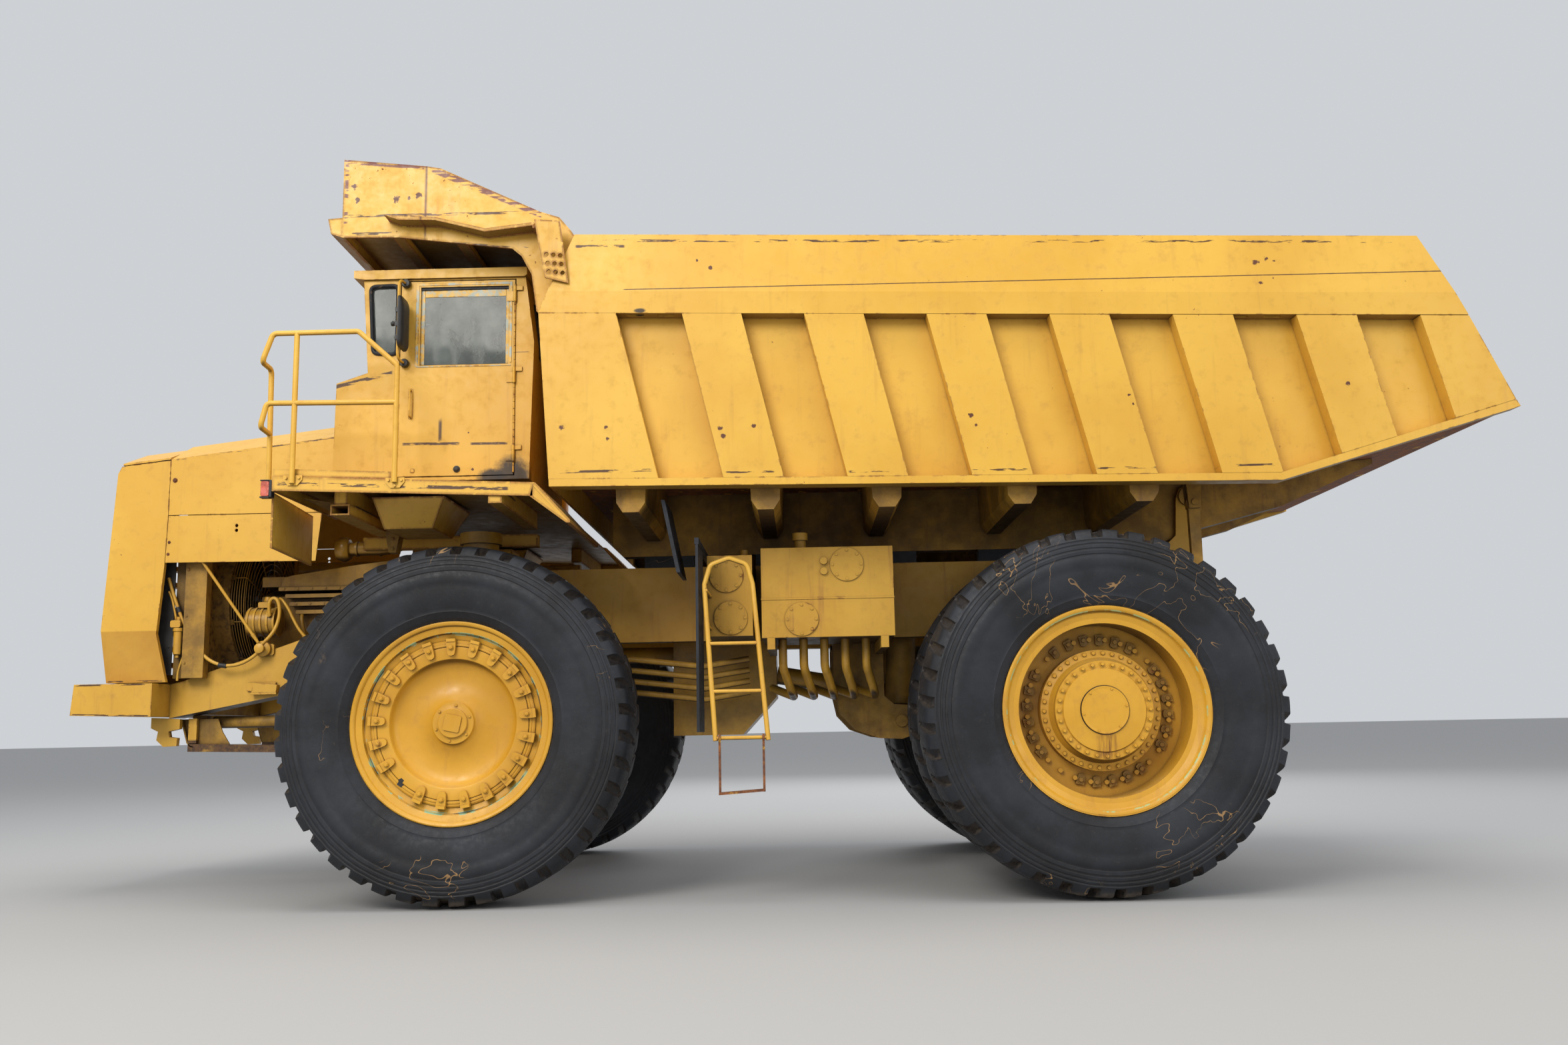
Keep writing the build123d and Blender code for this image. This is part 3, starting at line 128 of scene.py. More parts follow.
# ---------------------------------------------------------------- shader helpers
class Shader:
    """A new node material with short calls for the nodes that the materials below share."""

    def __init__(self, name):
        self.material = bpy.data.materials.new(name)
        self.material.use_nodes = True
        self.tree = self.material.node_tree
        self.surface = self.tree.nodes["Principled BSDF"]
        self.place = self.node("ShaderNodeTexCoord").outputs["Object"]

    @classmethod
    def of(cls, material):
        """The same short calls for a material made before."""
        shader = cls.__new__(cls)
        shader.material = material
        shader.tree = material.node_tree
        shader.surface = shader.tree.nodes["Principled BSDF"]
        shader.place = shader.node("ShaderNodeTexCoord").outputs["Object"]
        return shader

    def base_source(self):
        """The output that feeds the surface's colour."""
        return self.surface.inputs["Base Color"].links[0].from_socket

    def node(self, kind, **settings):
        made = self.tree.nodes.new(kind)
        for name, value in settings.items():
            setattr(made, name, value)
        return made

    def link(self, source, target):
        self.tree.links.new(source, target)

    def feed(self, socket, value):
        """Links an output to a socket, or sets a plain value on it."""
        if isinstance(value, bpy.types.NodeSocket):
            self.link(value, socket)
        elif isinstance(value, tuple) and len(value) == 3 and socket.type == "RGBA":
            socket.default_value = (*value, 1)
        else:
            socket.default_value = value

    def set(self, **values):
        """Values or outputs for the surface shader, with _ for a space in a socket's name."""
        for name, value in values.items():
            self.feed(self.surface.inputs[name.replace("_", " ")], value)

    def math(self, operation, a, b=0.0, clamp=False):
        made = self.node("ShaderNodeMath", operation=operation, use_clamp=clamp)
        self.feed(made.inputs[0], a)
        self.feed(made.inputs[1], b)
        return made.outputs[0]

    def stretched(self, scale, turn=(0, 0, 0)):
        """The place, scaled by axis, so that a pattern becomes streaks."""
        made = self.node("ShaderNodeMapping")
        self.link(self.place, made.inputs["Vector"])
        made.inputs["Scale"].default_value = scale
        made.inputs["Rotation"].default_value = turn
        return made.outputs[0]

    def noise(self, scale, detail=4.0, roughness=0.55, vector=None, distortion=0.0):
        made = self.node("ShaderNodeTexNoise")
        self.link(vector or self.place, made.inputs["Vector"])
        made.inputs["Scale"].default_value = scale
        made.inputs["Detail"].default_value = detail
        made.inputs["Roughness"].default_value = roughness
        made.inputs["Distortion"].default_value = distortion
        return made.outputs["Fac"]

    def span(self, value, low, high, start=0.0, end=1.0):
        """start where value is low, end where it is high, smooth between."""
        made = self.node("ShaderNodeMapRange", interpolation_type="SMOOTHSTEP")
        self.feed(made.inputs["Value"], value)
        made.inputs["From Min"].default_value = low
        made.inputs["From Max"].default_value = high
        made.inputs["To Min"].default_value = start
        made.inputs["To Max"].default_value = end
        return made.outputs["Result"]

    def blend(self, factor, a, b, kind="MIX"):
        made = self.node("ShaderNodeMix", data_type="RGBA", blend_type=kind)
        self.feed(made.inputs["Factor"], factor)
        self.feed(made.inputs["A"], a)
        self.feed(made.inputs["B"], b)
        return made.outputs["Result"]

    def axis(self, vector, name):
        made = self.node("ShaderNodeSeparateXYZ")
        self.link(vector, made.inputs[0])
        return made.outputs[name]

    def facing(self, name):
        """How far the surface faces along an axis, from -1 to 1, in the part's own frame."""
        made = self.node("ShaderNodeTexCoord")
        return self.axis(made.outputs["Normal"], name)

    def edges(self, radius):
        """0 on flat faces and more on edges, within the radius."""
        bevel = self.node("ShaderNodeBevel", samples=4)
        bevel.inputs["Radius"].default_value = radius
        plain = self.node("ShaderNodeNewGeometry").outputs["Normal"]
        made = self.node("ShaderNodeVectorMath", operation="DOT_PRODUCT")
        self.link(bevel.outputs[0], made.inputs[0])
        self.link(plain, made.inputs[1])
        return self.math("SUBTRACT", 1.0, made.outputs["Value"], clamp=True)

    def hollows(self, distance):
        """1 in tight corners and covered places, 0 in the open."""
        made = self.node("ShaderNodeAmbientOcclusion", samples=4)
        made.inputs["Distance"].default_value = distance
        return self.math("SUBTRACT", 1.0, made.outputs["AO"], clamp=True)

    def bump(self, height, strength, distance):
        made = self.node("ShaderNodeBump")
        self.link(height, made.inputs["Height"])
        made.inputs["Strength"].default_value = strength
        made.inputs["Distance"].default_value = distance
        self.link(made.outputs[0], self.surface.inputs["Normal"])


# ---------------------------------------------------------------- materials
PAINT_LIGHT = (0.79, 0.46, 0.058)
PAINT_DEEP = (0.68, 0.36, 0.034)
OLD_PAINT = (0.44, 0.21, 0.035)
RUST = (0.115, 0.035, 0.014)
RUST_LIGHT = (0.33, 0.12, 0.038)
# the dark of the painted shadows that add_marks lays on the paint
PAINTED_SHADOW = (0.022, 0.013, 0.009)
DUST = (0.60, 0.42, 0.20)
# dark brown used for soil and also as painted shade in covered places and under things; the next colour is
# crevice grime and painted shade
GRIME_AND_SHADE = (0.050, 0.026, 0.009)
CREVICE_DIRT_AND_SHADE = (0.16, 0.075, 0.014)


def paint(name, wear=0.5, grime=0.5, chips=0.3, edge=0.012, deep=0.5, gloss=0.42, dirt=0.0,
          tones=(PAINT_LIGHT, PAINT_DEEP)):
    """Weathered yellow machine paint. wear is how far its edges are rubbed to rust, grime how strong its rust
    runs, settled dust and crevice grime are and how much painted shade darkens its covered places and
    downward faces, chips how many small spots have come off, deep its shade, dirt the film of soil all
    over, and tones its fresh and its deep colour."""
    s = Shader(name)
    broad = s.noise(0.9, 5, 0.6)
    fine = s.noise(11, 6, 0.65)
    speck = s.noise(70, 3, 0.6)
    run = s.noise(1.0, 5, 0.6, s.stretched((16, 16, 1.1)))
    colour = s.blend(s.span(broad, 0.35, 0.68, deep - 0.35, deep + 0.35), *tones)
    colour = s.blend(s.span(fine, 0.50, 0.78, 0, 0.34), colour, OLD_PAINT)
    upright = s.math("SUBTRACT", 1.0, s.math("ABSOLUTE", s.facing("Z")))
    streaks = s.math("MULTIPLY", s.span(run, 0.55, 0.74), upright)
    colour = s.blend(s.math("MULTIPLY", streaks, 0.42 * grime), colour, RUST_LIGHT)
    level = s.span(s.facing("Z"), 0.55, 0.95)
    settled = s.math("MULTIPLY", level, s.span(fine, 0.30, 0.66, 0.12, 0.75))
    colour = s.blend(s.math("MULTIPLY", settled, 0.8 * grime), colour, DUST)
    # covered: wide occlusion, so the dark grime colour laid here is painted shade in sheltered places
    covered = s.math("MULTIPLY", s.span(s.hollows(0.5), 0.25, 0.85), s.span(broad, 0.2, 0.6, 0.65, 1))
    soil = s.math("MULTIPLY", s.span(s.noise(4.5, 6, 0.66), 0.30, 0.66, 0.5, 1.15), dirt, clamp=True)
    # beneath: downward faces darkened, painted shade under things
    beneath = s.span(s.facing("Z"), -0.9, -0.45, min(1.0, 0.55 + 0.5 * grime), 0)
    # tight: narrow occlusion, crevice grime and painted shade in tight corners
    tight = s.span(s.hollows(0.035), 0.22, 0.80)
    colour = s.blend(s.math("MULTIPLY", tight, min(1.0, 0.5 + 0.5 * grime)), colour, CREVICE_DIRT_AND_SHADE)
    colour = s.blend(s.math("MULTIPLY", covered, min(1.0, 0.8 * grime)), colour, GRIME_AND_SHADE)
    # soil is real dirt; beneath adds the painted shade on downward faces
    colour = s.blend(s.math("MAXIMUM", soil, beneath), colour, GRIME_AND_SHADE)
    spots = s.span(s.noise(26, 5, 0.62), 0.735 - 0.10 * chips, 0.765 - 0.10 * chips)
    patches = s.span(s.noise(2.3, 2), 0.52, 0.60)
    bare = s.math("MULTIPLY", spots, patches)
    rim = s.math("MULTIPLY", s.span(s.edges(edge), 0.004, 0.05),
                 s.span(fine, 0.62 - 0.26 * wear, 0.68 - 0.24 * wear))
    rim = s.math("MULTIPLY", rim, s.span(s.noise(1.7, 3), 0.58 - 0.35 * wear, 0.66 - 0.25 * wear))
    worn = s.math("MAXIMUM", bare, rim)
    rust = s.blend(s.span(speck, 0.38, 0.62), RUST, RUST_LIGHT)
    colour = s.blend(worn, colour, rust)
    rough = s.math("ADD", s.span(fine, 0.3, 0.7, gloss - 0.08, gloss + 0.12), s.math("MULTIPLY", worn, 0.35))
    rough = s.math("ADD", rough, s.math("MULTIPLY", covered, 0.2), clamp=True)
    s.set(Base_Color=colour, Roughness=rough)
    height = s.math("ADD", s.math("MULTIPLY", speck, 0.22), s.math("MULTIPLY", fine, 0.5))
    height = s.math("SUBTRACT", height, s.math("MULTIPLY", worn, 0.8))
    s.bump(height, 0.32, 0.004)
    return s.material


def rusty_steel(name, yellow=0.25):
    """Bare plate that still carries a little of its old paint."""
    s = Shader(name)
    fine = s.noise(14, 7, 0.68)
    speck = s.noise(90, 4, 0.6)
    colour = s.blend(s.span(fine, 0.35, 0.66), RUST, RUST_LIGHT)
    colour = s.blend(s.span(speck, 0.46, 0.70, 0, 0.7), colour, (0.045, 0.022, 0.016))
    kept = s.span(s.noise(5.5, 5, 0.6), 0.66 - 0.3 * yellow, 0.72 - 0.3 * yellow)
    colour = s.blend(kept, colour, PAINT_DEEP)
    s.set(Base_Color=colour, Roughness=s.span(fine, 0.3, 0.7, 0.62, 0.88), Metallic=0.15)
    s.bump(s.math("ADD", fine, s.math("MULTIPLY", speck, 0.4)), 0.5, 0.004)
    return s.material


def rubber(name, dusty=0.5, shade=1.0):
    """Weathered black rubber with a cool bloom and dust in its hollows."""
    s = Shader(name)
    broad = s.noise(1.6, 5, 0.6)
    fine = s.noise(24, 6, 0.7)
    dark = tuple(c * shade for c in (0.0070, 0.0078, 0.0105))
    pale = tuple(c * shade for c in (0.0195, 0.0225, 0.0300))
    colour = s.blend(s.span(broad, 0.34, 0.66), dark, pale)
    colour = s.blend(s.span(fine, 0.55, 0.80, 0, 0.45), colour, (0.060, 0.055, 0.050))
    held = s.math("MULTIPLY", s.span(s.hollows(0.09), 0.18, 0.72), s.span(fine, 0.30, 0.62))
    colour = s.blend(s.math("MULTIPLY", held, dusty), colour, (0.165, 0.125, 0.088))
    marks = s.span(s.noise(3.1, 8, 0.75, distortion=0.6), 0.655, 0.70, 0, 0.35 * dusty)
    colour = s.blend(marks, colour, (0.20, 0.13, 0.075))
    line = s.math("ABSOLUTE", s.math("SUBTRACT", s.noise(1.9, 3, 0.6, distortion=1.2), 0.5))
    scratch = s.math("MULTIPLY", s.span(line, 0.0012, 0.0035, 1, 0),
                     s.span(s.noise(1.1, 2), 0.56, 0.60, 0, dusty))
    colour = s.blend(scratch, colour, (0.40, 0.23, 0.09))
    s.set(Base_Color=colour, Roughness=s.span(fine, 0.3, 0.7, 0.50, 0.72), Specular_IOR_Level=0.42)
    height = s.math("ADD", s.math("MULTIPLY", fine, 0.7), s.math("MULTIPLY", s.noise(150, 2), 0.3))
    s.bump(height, 0.35, 0.004)
    return s.material


def glass(name, tint=(0.115, 0.130, 0.125)):
    """Dusty blue-grey cab glass."""
    s = Shader(name)
    film = s.noise(3.0, 6, 0.62)
    wiped = s.noise(1.0, 4, 0.6, s.stretched((9, 9, 2.0), (0, 0.5, 0)))
    colour = s.blend(s.span(film, 0.35, 0.7), tint, tuple(c * 1.5 for c in tint))
    colour = s.blend(s.span(wiped, 0.55, 0.8, 0, 0.3), colour, (0.30, 0.30, 0.27))
    s.set(Base_Color=colour, Roughness=s.span(wiped, 0.4, 0.75, 0.04, 0.18), Specular_IOR_Level=0.28)
    s.set(Alpha=s.span(film, 0.3, 0.75, 0.70, 0.84))
    s.bump(film, 0.05, 0.002)
    return s.material


def metal(name, colour=(0.60, 0.60, 0.58), rough=0.3, dull=0.4):
    """Plain metal with fine scratches and dull patches."""
    s = Shader(name)
    broad = s.noise(5, 5, 0.6)
    scratch = s.noise(1.0, 4, 0.7, s.stretched((260, 260, 18)))
    shade = tuple(c * 0.55 for c in colour)
    mixed = s.blend(s.span(broad, 0.35, 0.75, 0, dull), colour, shade)
    mixed = s.blend(s.span(scratch, 0.55, 0.8, 0, 0.35), mixed, shade)
    s.set(Base_Color=mixed, Metallic=0.9, Roughness=s.span(broad, 0.3, 0.7, rough - 0.08, rough + 0.18))
    s.bump(scratch, 0.12, 0.001)
    return s.material


def plastic(name, colour, rough=0.5, grain=180, grime=0.4):
    """Moulded plastic or enamel with a fine grain, dust and rubbed edges."""
    s = Shader(name)
    broad = s.noise(7, 5, 0.6)
    pale = tuple(min(1, c * 1.8 + 0.01) for c in colour)
    mixed = s.blend(s.span(broad, 0.4, 0.75, 0, 0.5), colour, pale)
    mixed = s.blend(s.math("MULTIPLY", s.span(s.hollows(0.05), 0.2, 0.8), grime), mixed, (0.10, 0.07, 0.04))
    mixed = s.blend(s.math("MULTIPLY", s.span(s.edges(0.004), 0.05, 0.3), 0.5), mixed, pale)
    s.set(Base_Color=mixed, Roughness=s.span(broad, 0.3, 0.7, rough - 0.08, rough + 0.12))
    s.bump(s.noise(grain, 2), 0.18, 0.001)
    return s.material


def vinyl(name):
    """Cracked, creased seat vinyl with a leather grain."""
    s = Shader(name)
    cells = s.node("ShaderNodeTexVoronoi", feature="DISTANCE_TO_EDGE")
    s.link(s.place, cells.inputs["Vector"])
    cells.inputs["Scale"].default_value = 210
    broad = s.noise(8, 5, 0.6)
    colour = s.blend(s.span(broad, 0.35, 0.7), (0.018, 0.017, 0.016), (0.055, 0.050, 0.045))
    colour = s.blend(s.span(s.edges(0.01), 0.03, 0.25, 0, 0.5), colour, (0.11, 0.09, 0.07))
    s.set(Base_Color=colour, Roughness=s.span(broad, 0.3, 0.7, 0.42, 0.62))
    s.bump(s.span(cells.outputs["Distance"], 0.0, 0.12), 0.35, 0.0008)
    return s.material


def screen(name):
    """Radiator core: fine upright fins full of dust, with painted tanks and shroud round it."""
    s = Shader(name)
    wave = s.node("ShaderNodeTexWave", bands_direction="Y")
    s.link(s.place, wave.inputs["Vector"])
    wave.inputs["Scale"].default_value = 26
    fine = s.noise(20, 5, 0.6)
    # the fin pattern's dark bands are painted shade in the gaps between the fins
    colour = s.blend(wave.outputs["Fac"], (0.012, 0.011, 0.010), (0.10, 0.085, 0.065))
    colour = s.blend(s.span(fine, 0.5, 0.75, 0, 0.6), colour, (0.20, 0.14, 0.08))
    z = s.axis(s.place, "Z")
    core = s.math("MULTIPLY", s.span(s.axis(s.place, "X"), -4.757, -4.755, 1, 0),
                  s.math("MULTIPLY", s.span(z, 1.859, 1.861), s.span(z, 3.249, 3.2505, 1, 0)))
    shell = s.blend(s.span(fine, 0.4, 0.72), (0.30, 0.165, 0.030), (0.085, 0.045, 0.016))
    s.set(Base_Color=s.blend(core, shell, colour), Roughness=s.span(fine, 0.3, 0.7, 0.6, 0.8))
    s.bump(s.math("MULTIPLY", wave.outputs["Fac"], core), 0.6, 0.004)
    return s.material


def lens(name, colour):
    """Ribbed plastic lamp lens."""
    s = Shader(name)
    wave = s.node("ShaderNodeTexWave", bands_direction="Z")
    s.link(s.place, wave.inputs["Vector"])
    wave.inputs["Scale"].default_value = 60
    fade = s.noise(30, 4)
    mixed = s.blend(s.span(fade, 0.35, 0.7), colour, tuple(c * 0.6 for c in colour))
    s.set(Base_Color=mixed, Roughness=s.span(fade, 0.3, 0.7, 0.15, 0.35), Coat_Weight=0.4)
    s.bump(wave.outputs["Fac"], 0.5, 0.001)
    return s.material


body_paint = paint("body_paint", wear=0.45, grime=0.35, chips=0.35, deep=0.35)
edge_paint = paint("edge_paint", wear=1.0, grime=0.55, chips=0.7, edge=0.03, deep=0.45)
cab_paint = paint("cab_paint", wear=0.5, grime=0.45, chips=0.3, edge=0.008, deep=0.4)
# The frame, dirty and oily paints are darker, grimier copies for the frame, bay and under-body parts: partly
# real dirt and oil, partly painted shade where little light reaches.
frame_paint = paint("frame_paint", wear=0.3, grime=0.9, chips=0.3, deep=0.75, dirt=0.10)
bumper_paint = paint("bumper_paint", wear=0.55, grime=0.8, chips=0.4, deep=0.7, dirt=0.08)
red_lens = lens("red_lens", (0.62, 0.060, 0.012))
dirty_shaded_paint = paint("dirty_shaded_paint", wear=0.35, grime=1.2, chips=0.45, deep=0.95, gloss=0.52, dirt=0.62)
wheel_paint = paint("wheel_paint", wear=0.15, grime=0.6, chips=0.05, edge=0.006, deep=0.5, gloss=0.40,
                    tones=((0.76, 0.405, 0.034), (0.57, 0.275, 0.014)))
rail_paint = paint("rail_paint", wear=0.35, grime=0.35, chips=0.35, edge=0.006, deep=0.35)
ladder_paint = paint("ladder_paint", wear=0.75, grime=0.6, chips=0.75, edge=0.01, deep=0.55)
oily_shaded_paint = paint("oily_shaded_paint", wear=0.25, grime=1.1, chips=0.3, deep=0.9, gloss=0.34, dirt=0.46)
tyre_rubber = rubber("tyre_rubber", dusty=0.75)
flap_rubber = rubber("flap_rubber", dusty=0.55, shade=1.4)
seal_rubber = rubber("seal_rubber", dusty=0.3, shade=0.8)
cab_glass = glass("cab_glass")
chrome = metal("chrome_rod", (0.66, 0.66, 0.65), 0.16, 0.25)
rust_steel = rusty_steel("rust_steel", 0.25)
bed_steel = rusty_steel("bed_steel", 0.12)
black_plastic = plastic("black_plastic", (0.012, 0.012, 0.013), 0.45)
dark_paint = plastic("dark_paint", (0.020, 0.019, 0.018), 0.5, 60, 0.8)
seat_vinyl = vinyl("seat_vinyl")
radiator_core = screen("radiator_core")


# ---------------------------------------------------------------- finishes for the kept CAD nodes
FINISH = {
    "frame_rails": frame_paint, "frame_crossmembers": dirty_shaded_paint, "front_bumper": bumper_paint,
    "radiator_guard": body_paint, "radiator": radiator_core, "hood": body_paint, "engine": oily_shaded_paint,
    "transmission": oily_shaded_paint, "decks": edge_paint, "handrails": rail_paint, "marker_lamps": red_lens,
    "air_cleaners": frame_paint, "fuel_tank": frame_paint, "hydraulic_tank": frame_paint,
    "hydraulic_hoses": oily_shaded_paint, "mud_flaps": flap_rubber, "access_ladder": ladder_paint,
    "hoist_brackets": dirty_shaded_paint, "rear_axle_housing": dirty_shaded_paint, "suspension_struts": oily_shaded_paint,
    "body_pads": flap_rubber, "cab_shell": cab_paint, "cab_glass": cab_glass, "driver_seat": seat_vinyl,
    "cab_console": dark_paint, "body_sides": body_paint, "side_ribs": body_paint, "body_floor": bed_steel,
    "front_wall": body_paint, "canopy": edge_paint, "floor_bolsters": dirty_shaded_paint,
    "floor_stringers": dirty_shaded_paint, "cab_door": cab_paint, "door_window": cab_glass,
    "door_mirror": black_plastic, "steering_wheel": black_plastic, "radiator_fan": dark_paint,
    "ladder_step": rust_steel,
}
for side in ("left", "right"):
    FINISH[side + "_steering_knuckle"] = dirty_shaded_paint
    FINISH[side + "_front_tyre"] = tyre_rubber
    FINISH[side + "_front_wheel"] = wheel_paint
    FINISH[side + "_rear_tyres"] = tyre_rubber
    FINISH[side + "_rear_wheel"] = wheel_paint
    FINISH[side + "_steering_barrel"] = dirty_shaded_paint
    FINISH[side + "_steering_rod"] = chrome
    FINISH[side + "_hoist_barrel"] = dirty_shaded_paint
    FINISH[side + "_hoist_sleeve"] = chrome
    FINISH[side + "_hoist_rod"] = chrome
    FINISH[side + "_rock_ejector"] = dirty_shaded_paint

for name, material in FINISH.items():
    for slot in nodes[name].material_slots:
        slot.material = material


# ---------------------------------------------------------------- mesh helpers
def make_piece(name, vertices, faces, material, body, sharp=35, replaced=()):
    """A mesh object from corners and faces that rides on a body."""
    mesh = bpy.data.meshes.new(name)
    mesh.from_pydata([tuple(v) for v in vertices], [], faces)
    mesh.validate()
    grid = bmesh.new()
    grid.from_mesh(mesh)
    bmesh.ops.recalc_face_normals(grid, faces=grid.faces)
    grid.to_mesh(mesh)
    grid.free()
    return finish_piece(name, mesh, material, body, sharp, replaced)


def finish_piece(name, mesh, material, body, sharp=35, replaced=()):
    """Smooth shading with crisp edges, a material, and a body to ride on."""
    mesh.shade_smooth()
    mesh.set_sharp_from_angle(angle=math.radians(sharp))
    mesh.materials.append(material)
    piece = bpy.data.objects.new(name, mesh)
    bpy.context.scene.collection.objects.link(piece)
    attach(piece, body)
    if replaced:
        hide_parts(*replaced)
    return piece


def smooth(x, low, high):
    """0 below low, 1 above high, and an S-curve between."""
    t = min(1.0, max(0.0, (x - low) / (high - low)))
    return t * t * (3 - 2 * t)


# ---------------------------------------------------------------- tyres
FRONT_X, REAR_X, AXLE_Z = -2.22, 2.47, 1.31
FRONT_Y, REAR_OUTER_Y, REAR_INNER_Y = 2.026, 2.206, 1.326
LUGS = 42
LUG_PITCH = 2 * math.pi / LUGS
# across one lug: share of the pitch, and how much of the groove's depth the column has
LUG_COLUMNS = [(-0.02, 0), (0.04, 1), (0.16, 1), (0.30, 1), (0.36, 1), (0.42, 0), (0.50, 0), (0.66, 0),
               (0.82, 0),
               (0.94, 0)]
GROOVE_MIDDLE = 0.185
# (distance from the middle plane, radius) from the crown to the bead
TREAD = [(0.0, 1.310), (0.011, 1.310), (0.014, 1.309), (0.045, 1.309), (0.075, 1.3085), (0.12, 1.307),
         (0.17, 1.304), (0.22, 1.300), (0.265, 1.293), (0.295, 1.285), (0.314, 1.274), (0.324, 1.262)]
SHOULDER = [(0.333, 1.250), (0.341, 1.238), (0.348, 1.224), (0.353, 1.214)]
WALL = [(0.350, 1.209), (0.350, 1.203), (0.357, 1.197), (0.360, 1.185), (0.356, 1.179), (0.357, 1.172),
        (0.363, 1.166), (0.365, 1.150), (0.360, 1.144), (0.361, 1.136), (0.367, 1.129), (0.367, 1.108),
        (0.362, 1.102), (0.363, 1.094), (0.3685, 1.086), (0.3700, 1.060), (0.3700, 1.022), (0.3675, 1.016),
        (0.3680, 0.980), (0.3650, 0.930), (0.3570, 0.880), (0.3440, 0.832), (0.3370, 0.812), (0.3385, 0.806),
        (0.3310, 0.796), (0.3150, 0.768), (0.3020, 0.750), (0.2860, 0.741), (0.2730, 0.716), (0.2560, 0.684),
        (0.2380, 0.642)]


def groove_depth(d, r):
    """Depth of the cross groove at a profile point."""
    across_tread = 0.024 + 0.034 * smooth(d, 0.10, 0.25)
    return across_tread * smooth(r, 1.226, 1.258)


def tyre_mesh(x, y, seed, turn):
    """Corners and faces of one worn rock tyre standing in the row frame."""
    ring = [(-d, r) for d, r in reversed(TREAD + SHOULDER + WALL)] + (TREAD + SHOULDER + WALL)[1:]
    rng = random.Random(seed)
    jitter = [[rng.uniform(-0.05, 0.05) for _ in range(LUGS)] for _ in range(2)]
    worn = [[rng.uniform(0.75, 1.1) for _ in range(LUGS)] for _ in range(2)]
    vertices = []
    for d, r in ring:
        side = 1 if d > 0 else 0
        skew = 0.5 * (smooth(d, -0.055, 0.055) - 0.5) + 0.9 * abs(d)
        width = 0.55 + 0.45 * smooth(abs(d), 0.08, 0.30)
        depth = groove_depth(abs(d), r)
        middle_cut = 0.017 if abs(d) < 0.012 else 0.0
        for lug in range(LUGS):
            for share, grooved in LUG_COLUMNS:
                if share <= 0.42:
                    share = GROOVE_MIDDLE + (share - GROOVE_MIDDLE) * width
                loose = jitter[side][lug] * smooth(abs(d), 0.05,
                                                   0.2) * (1 if grooved or share < 0.45 else 0.3)
                angle = (lug + share + skew + loose * 0.6) * LUG_PITCH + turn
                cut = max(depth * grooved * worn[side][lug], middle_cut)
                place = Vector((math.cos(angle) * r * 3, d * 6, math.sin(angle) * r * 3 + seed))
                rough = 0.0035 * noise.noise(place * 1.3) + 0.0018 * noise.noise(place * 5)
                soft = r - cut - (abs(rough) if r > 1.0 else 0)
                inset = d - math.copysign(cut * 0.55 * smooth(abs(d), 0.2, 0.3),
                                          d) + (rough if r < 1.2 else 0)
                vertices.append((x + soft * math.cos(angle), y + inset, AXLE_Z + soft * math.sin(angle)))
    columns = LUGS * len(LUG_COLUMNS)
    faces = []
    for row in range(len(ring) - 1):
        for column in range(columns):
            after = (column + 1) % columns
            low, high = row * columns, (row + 1) * columns
            faces.append((low + column, low + after, high + after, high + column))
    # the inside of the casing closes the shape between the beads
    last = (len(ring) - 1) * columns
    for column in range(columns):
        after = (column + 1) % columns
        faces.append((last + column, last + after, after, column))
    return vertices, faces


def make_tyres():
    """One tyre at each front wheel and two at each rear wheel."""
    for side, sign in (("left", -1), ("right", 1)):
        vertices, faces = tyre_mesh(FRONT_X, sign * FRONT_Y, 3 + sign, 0.02)
        make_piece(side + "_front_tyre_tread", vertices, faces, tyre_rubber, side + "_front_wheel",
                   replaced=[side + "_front_tyre"])
        vertices, faces = tyre_mesh(REAR_X, sign * REAR_OUTER_Y, 11 + sign, 0.05)
        inner, inner_faces = tyre_mesh(REAR_X, sign * REAR_INNER_Y, 17 + sign, 0.09)
        shift = len(vertices)
        faces = faces + [tuple(index + shift for index in face) for face in inner_faces]
        make_piece(side + "_rear_tyre_treads", vertices + inner, faces, tyre_rubber, side + "_rear_wheel",
                   replaced=[side + "_rear_tyres"])


make_tyres()


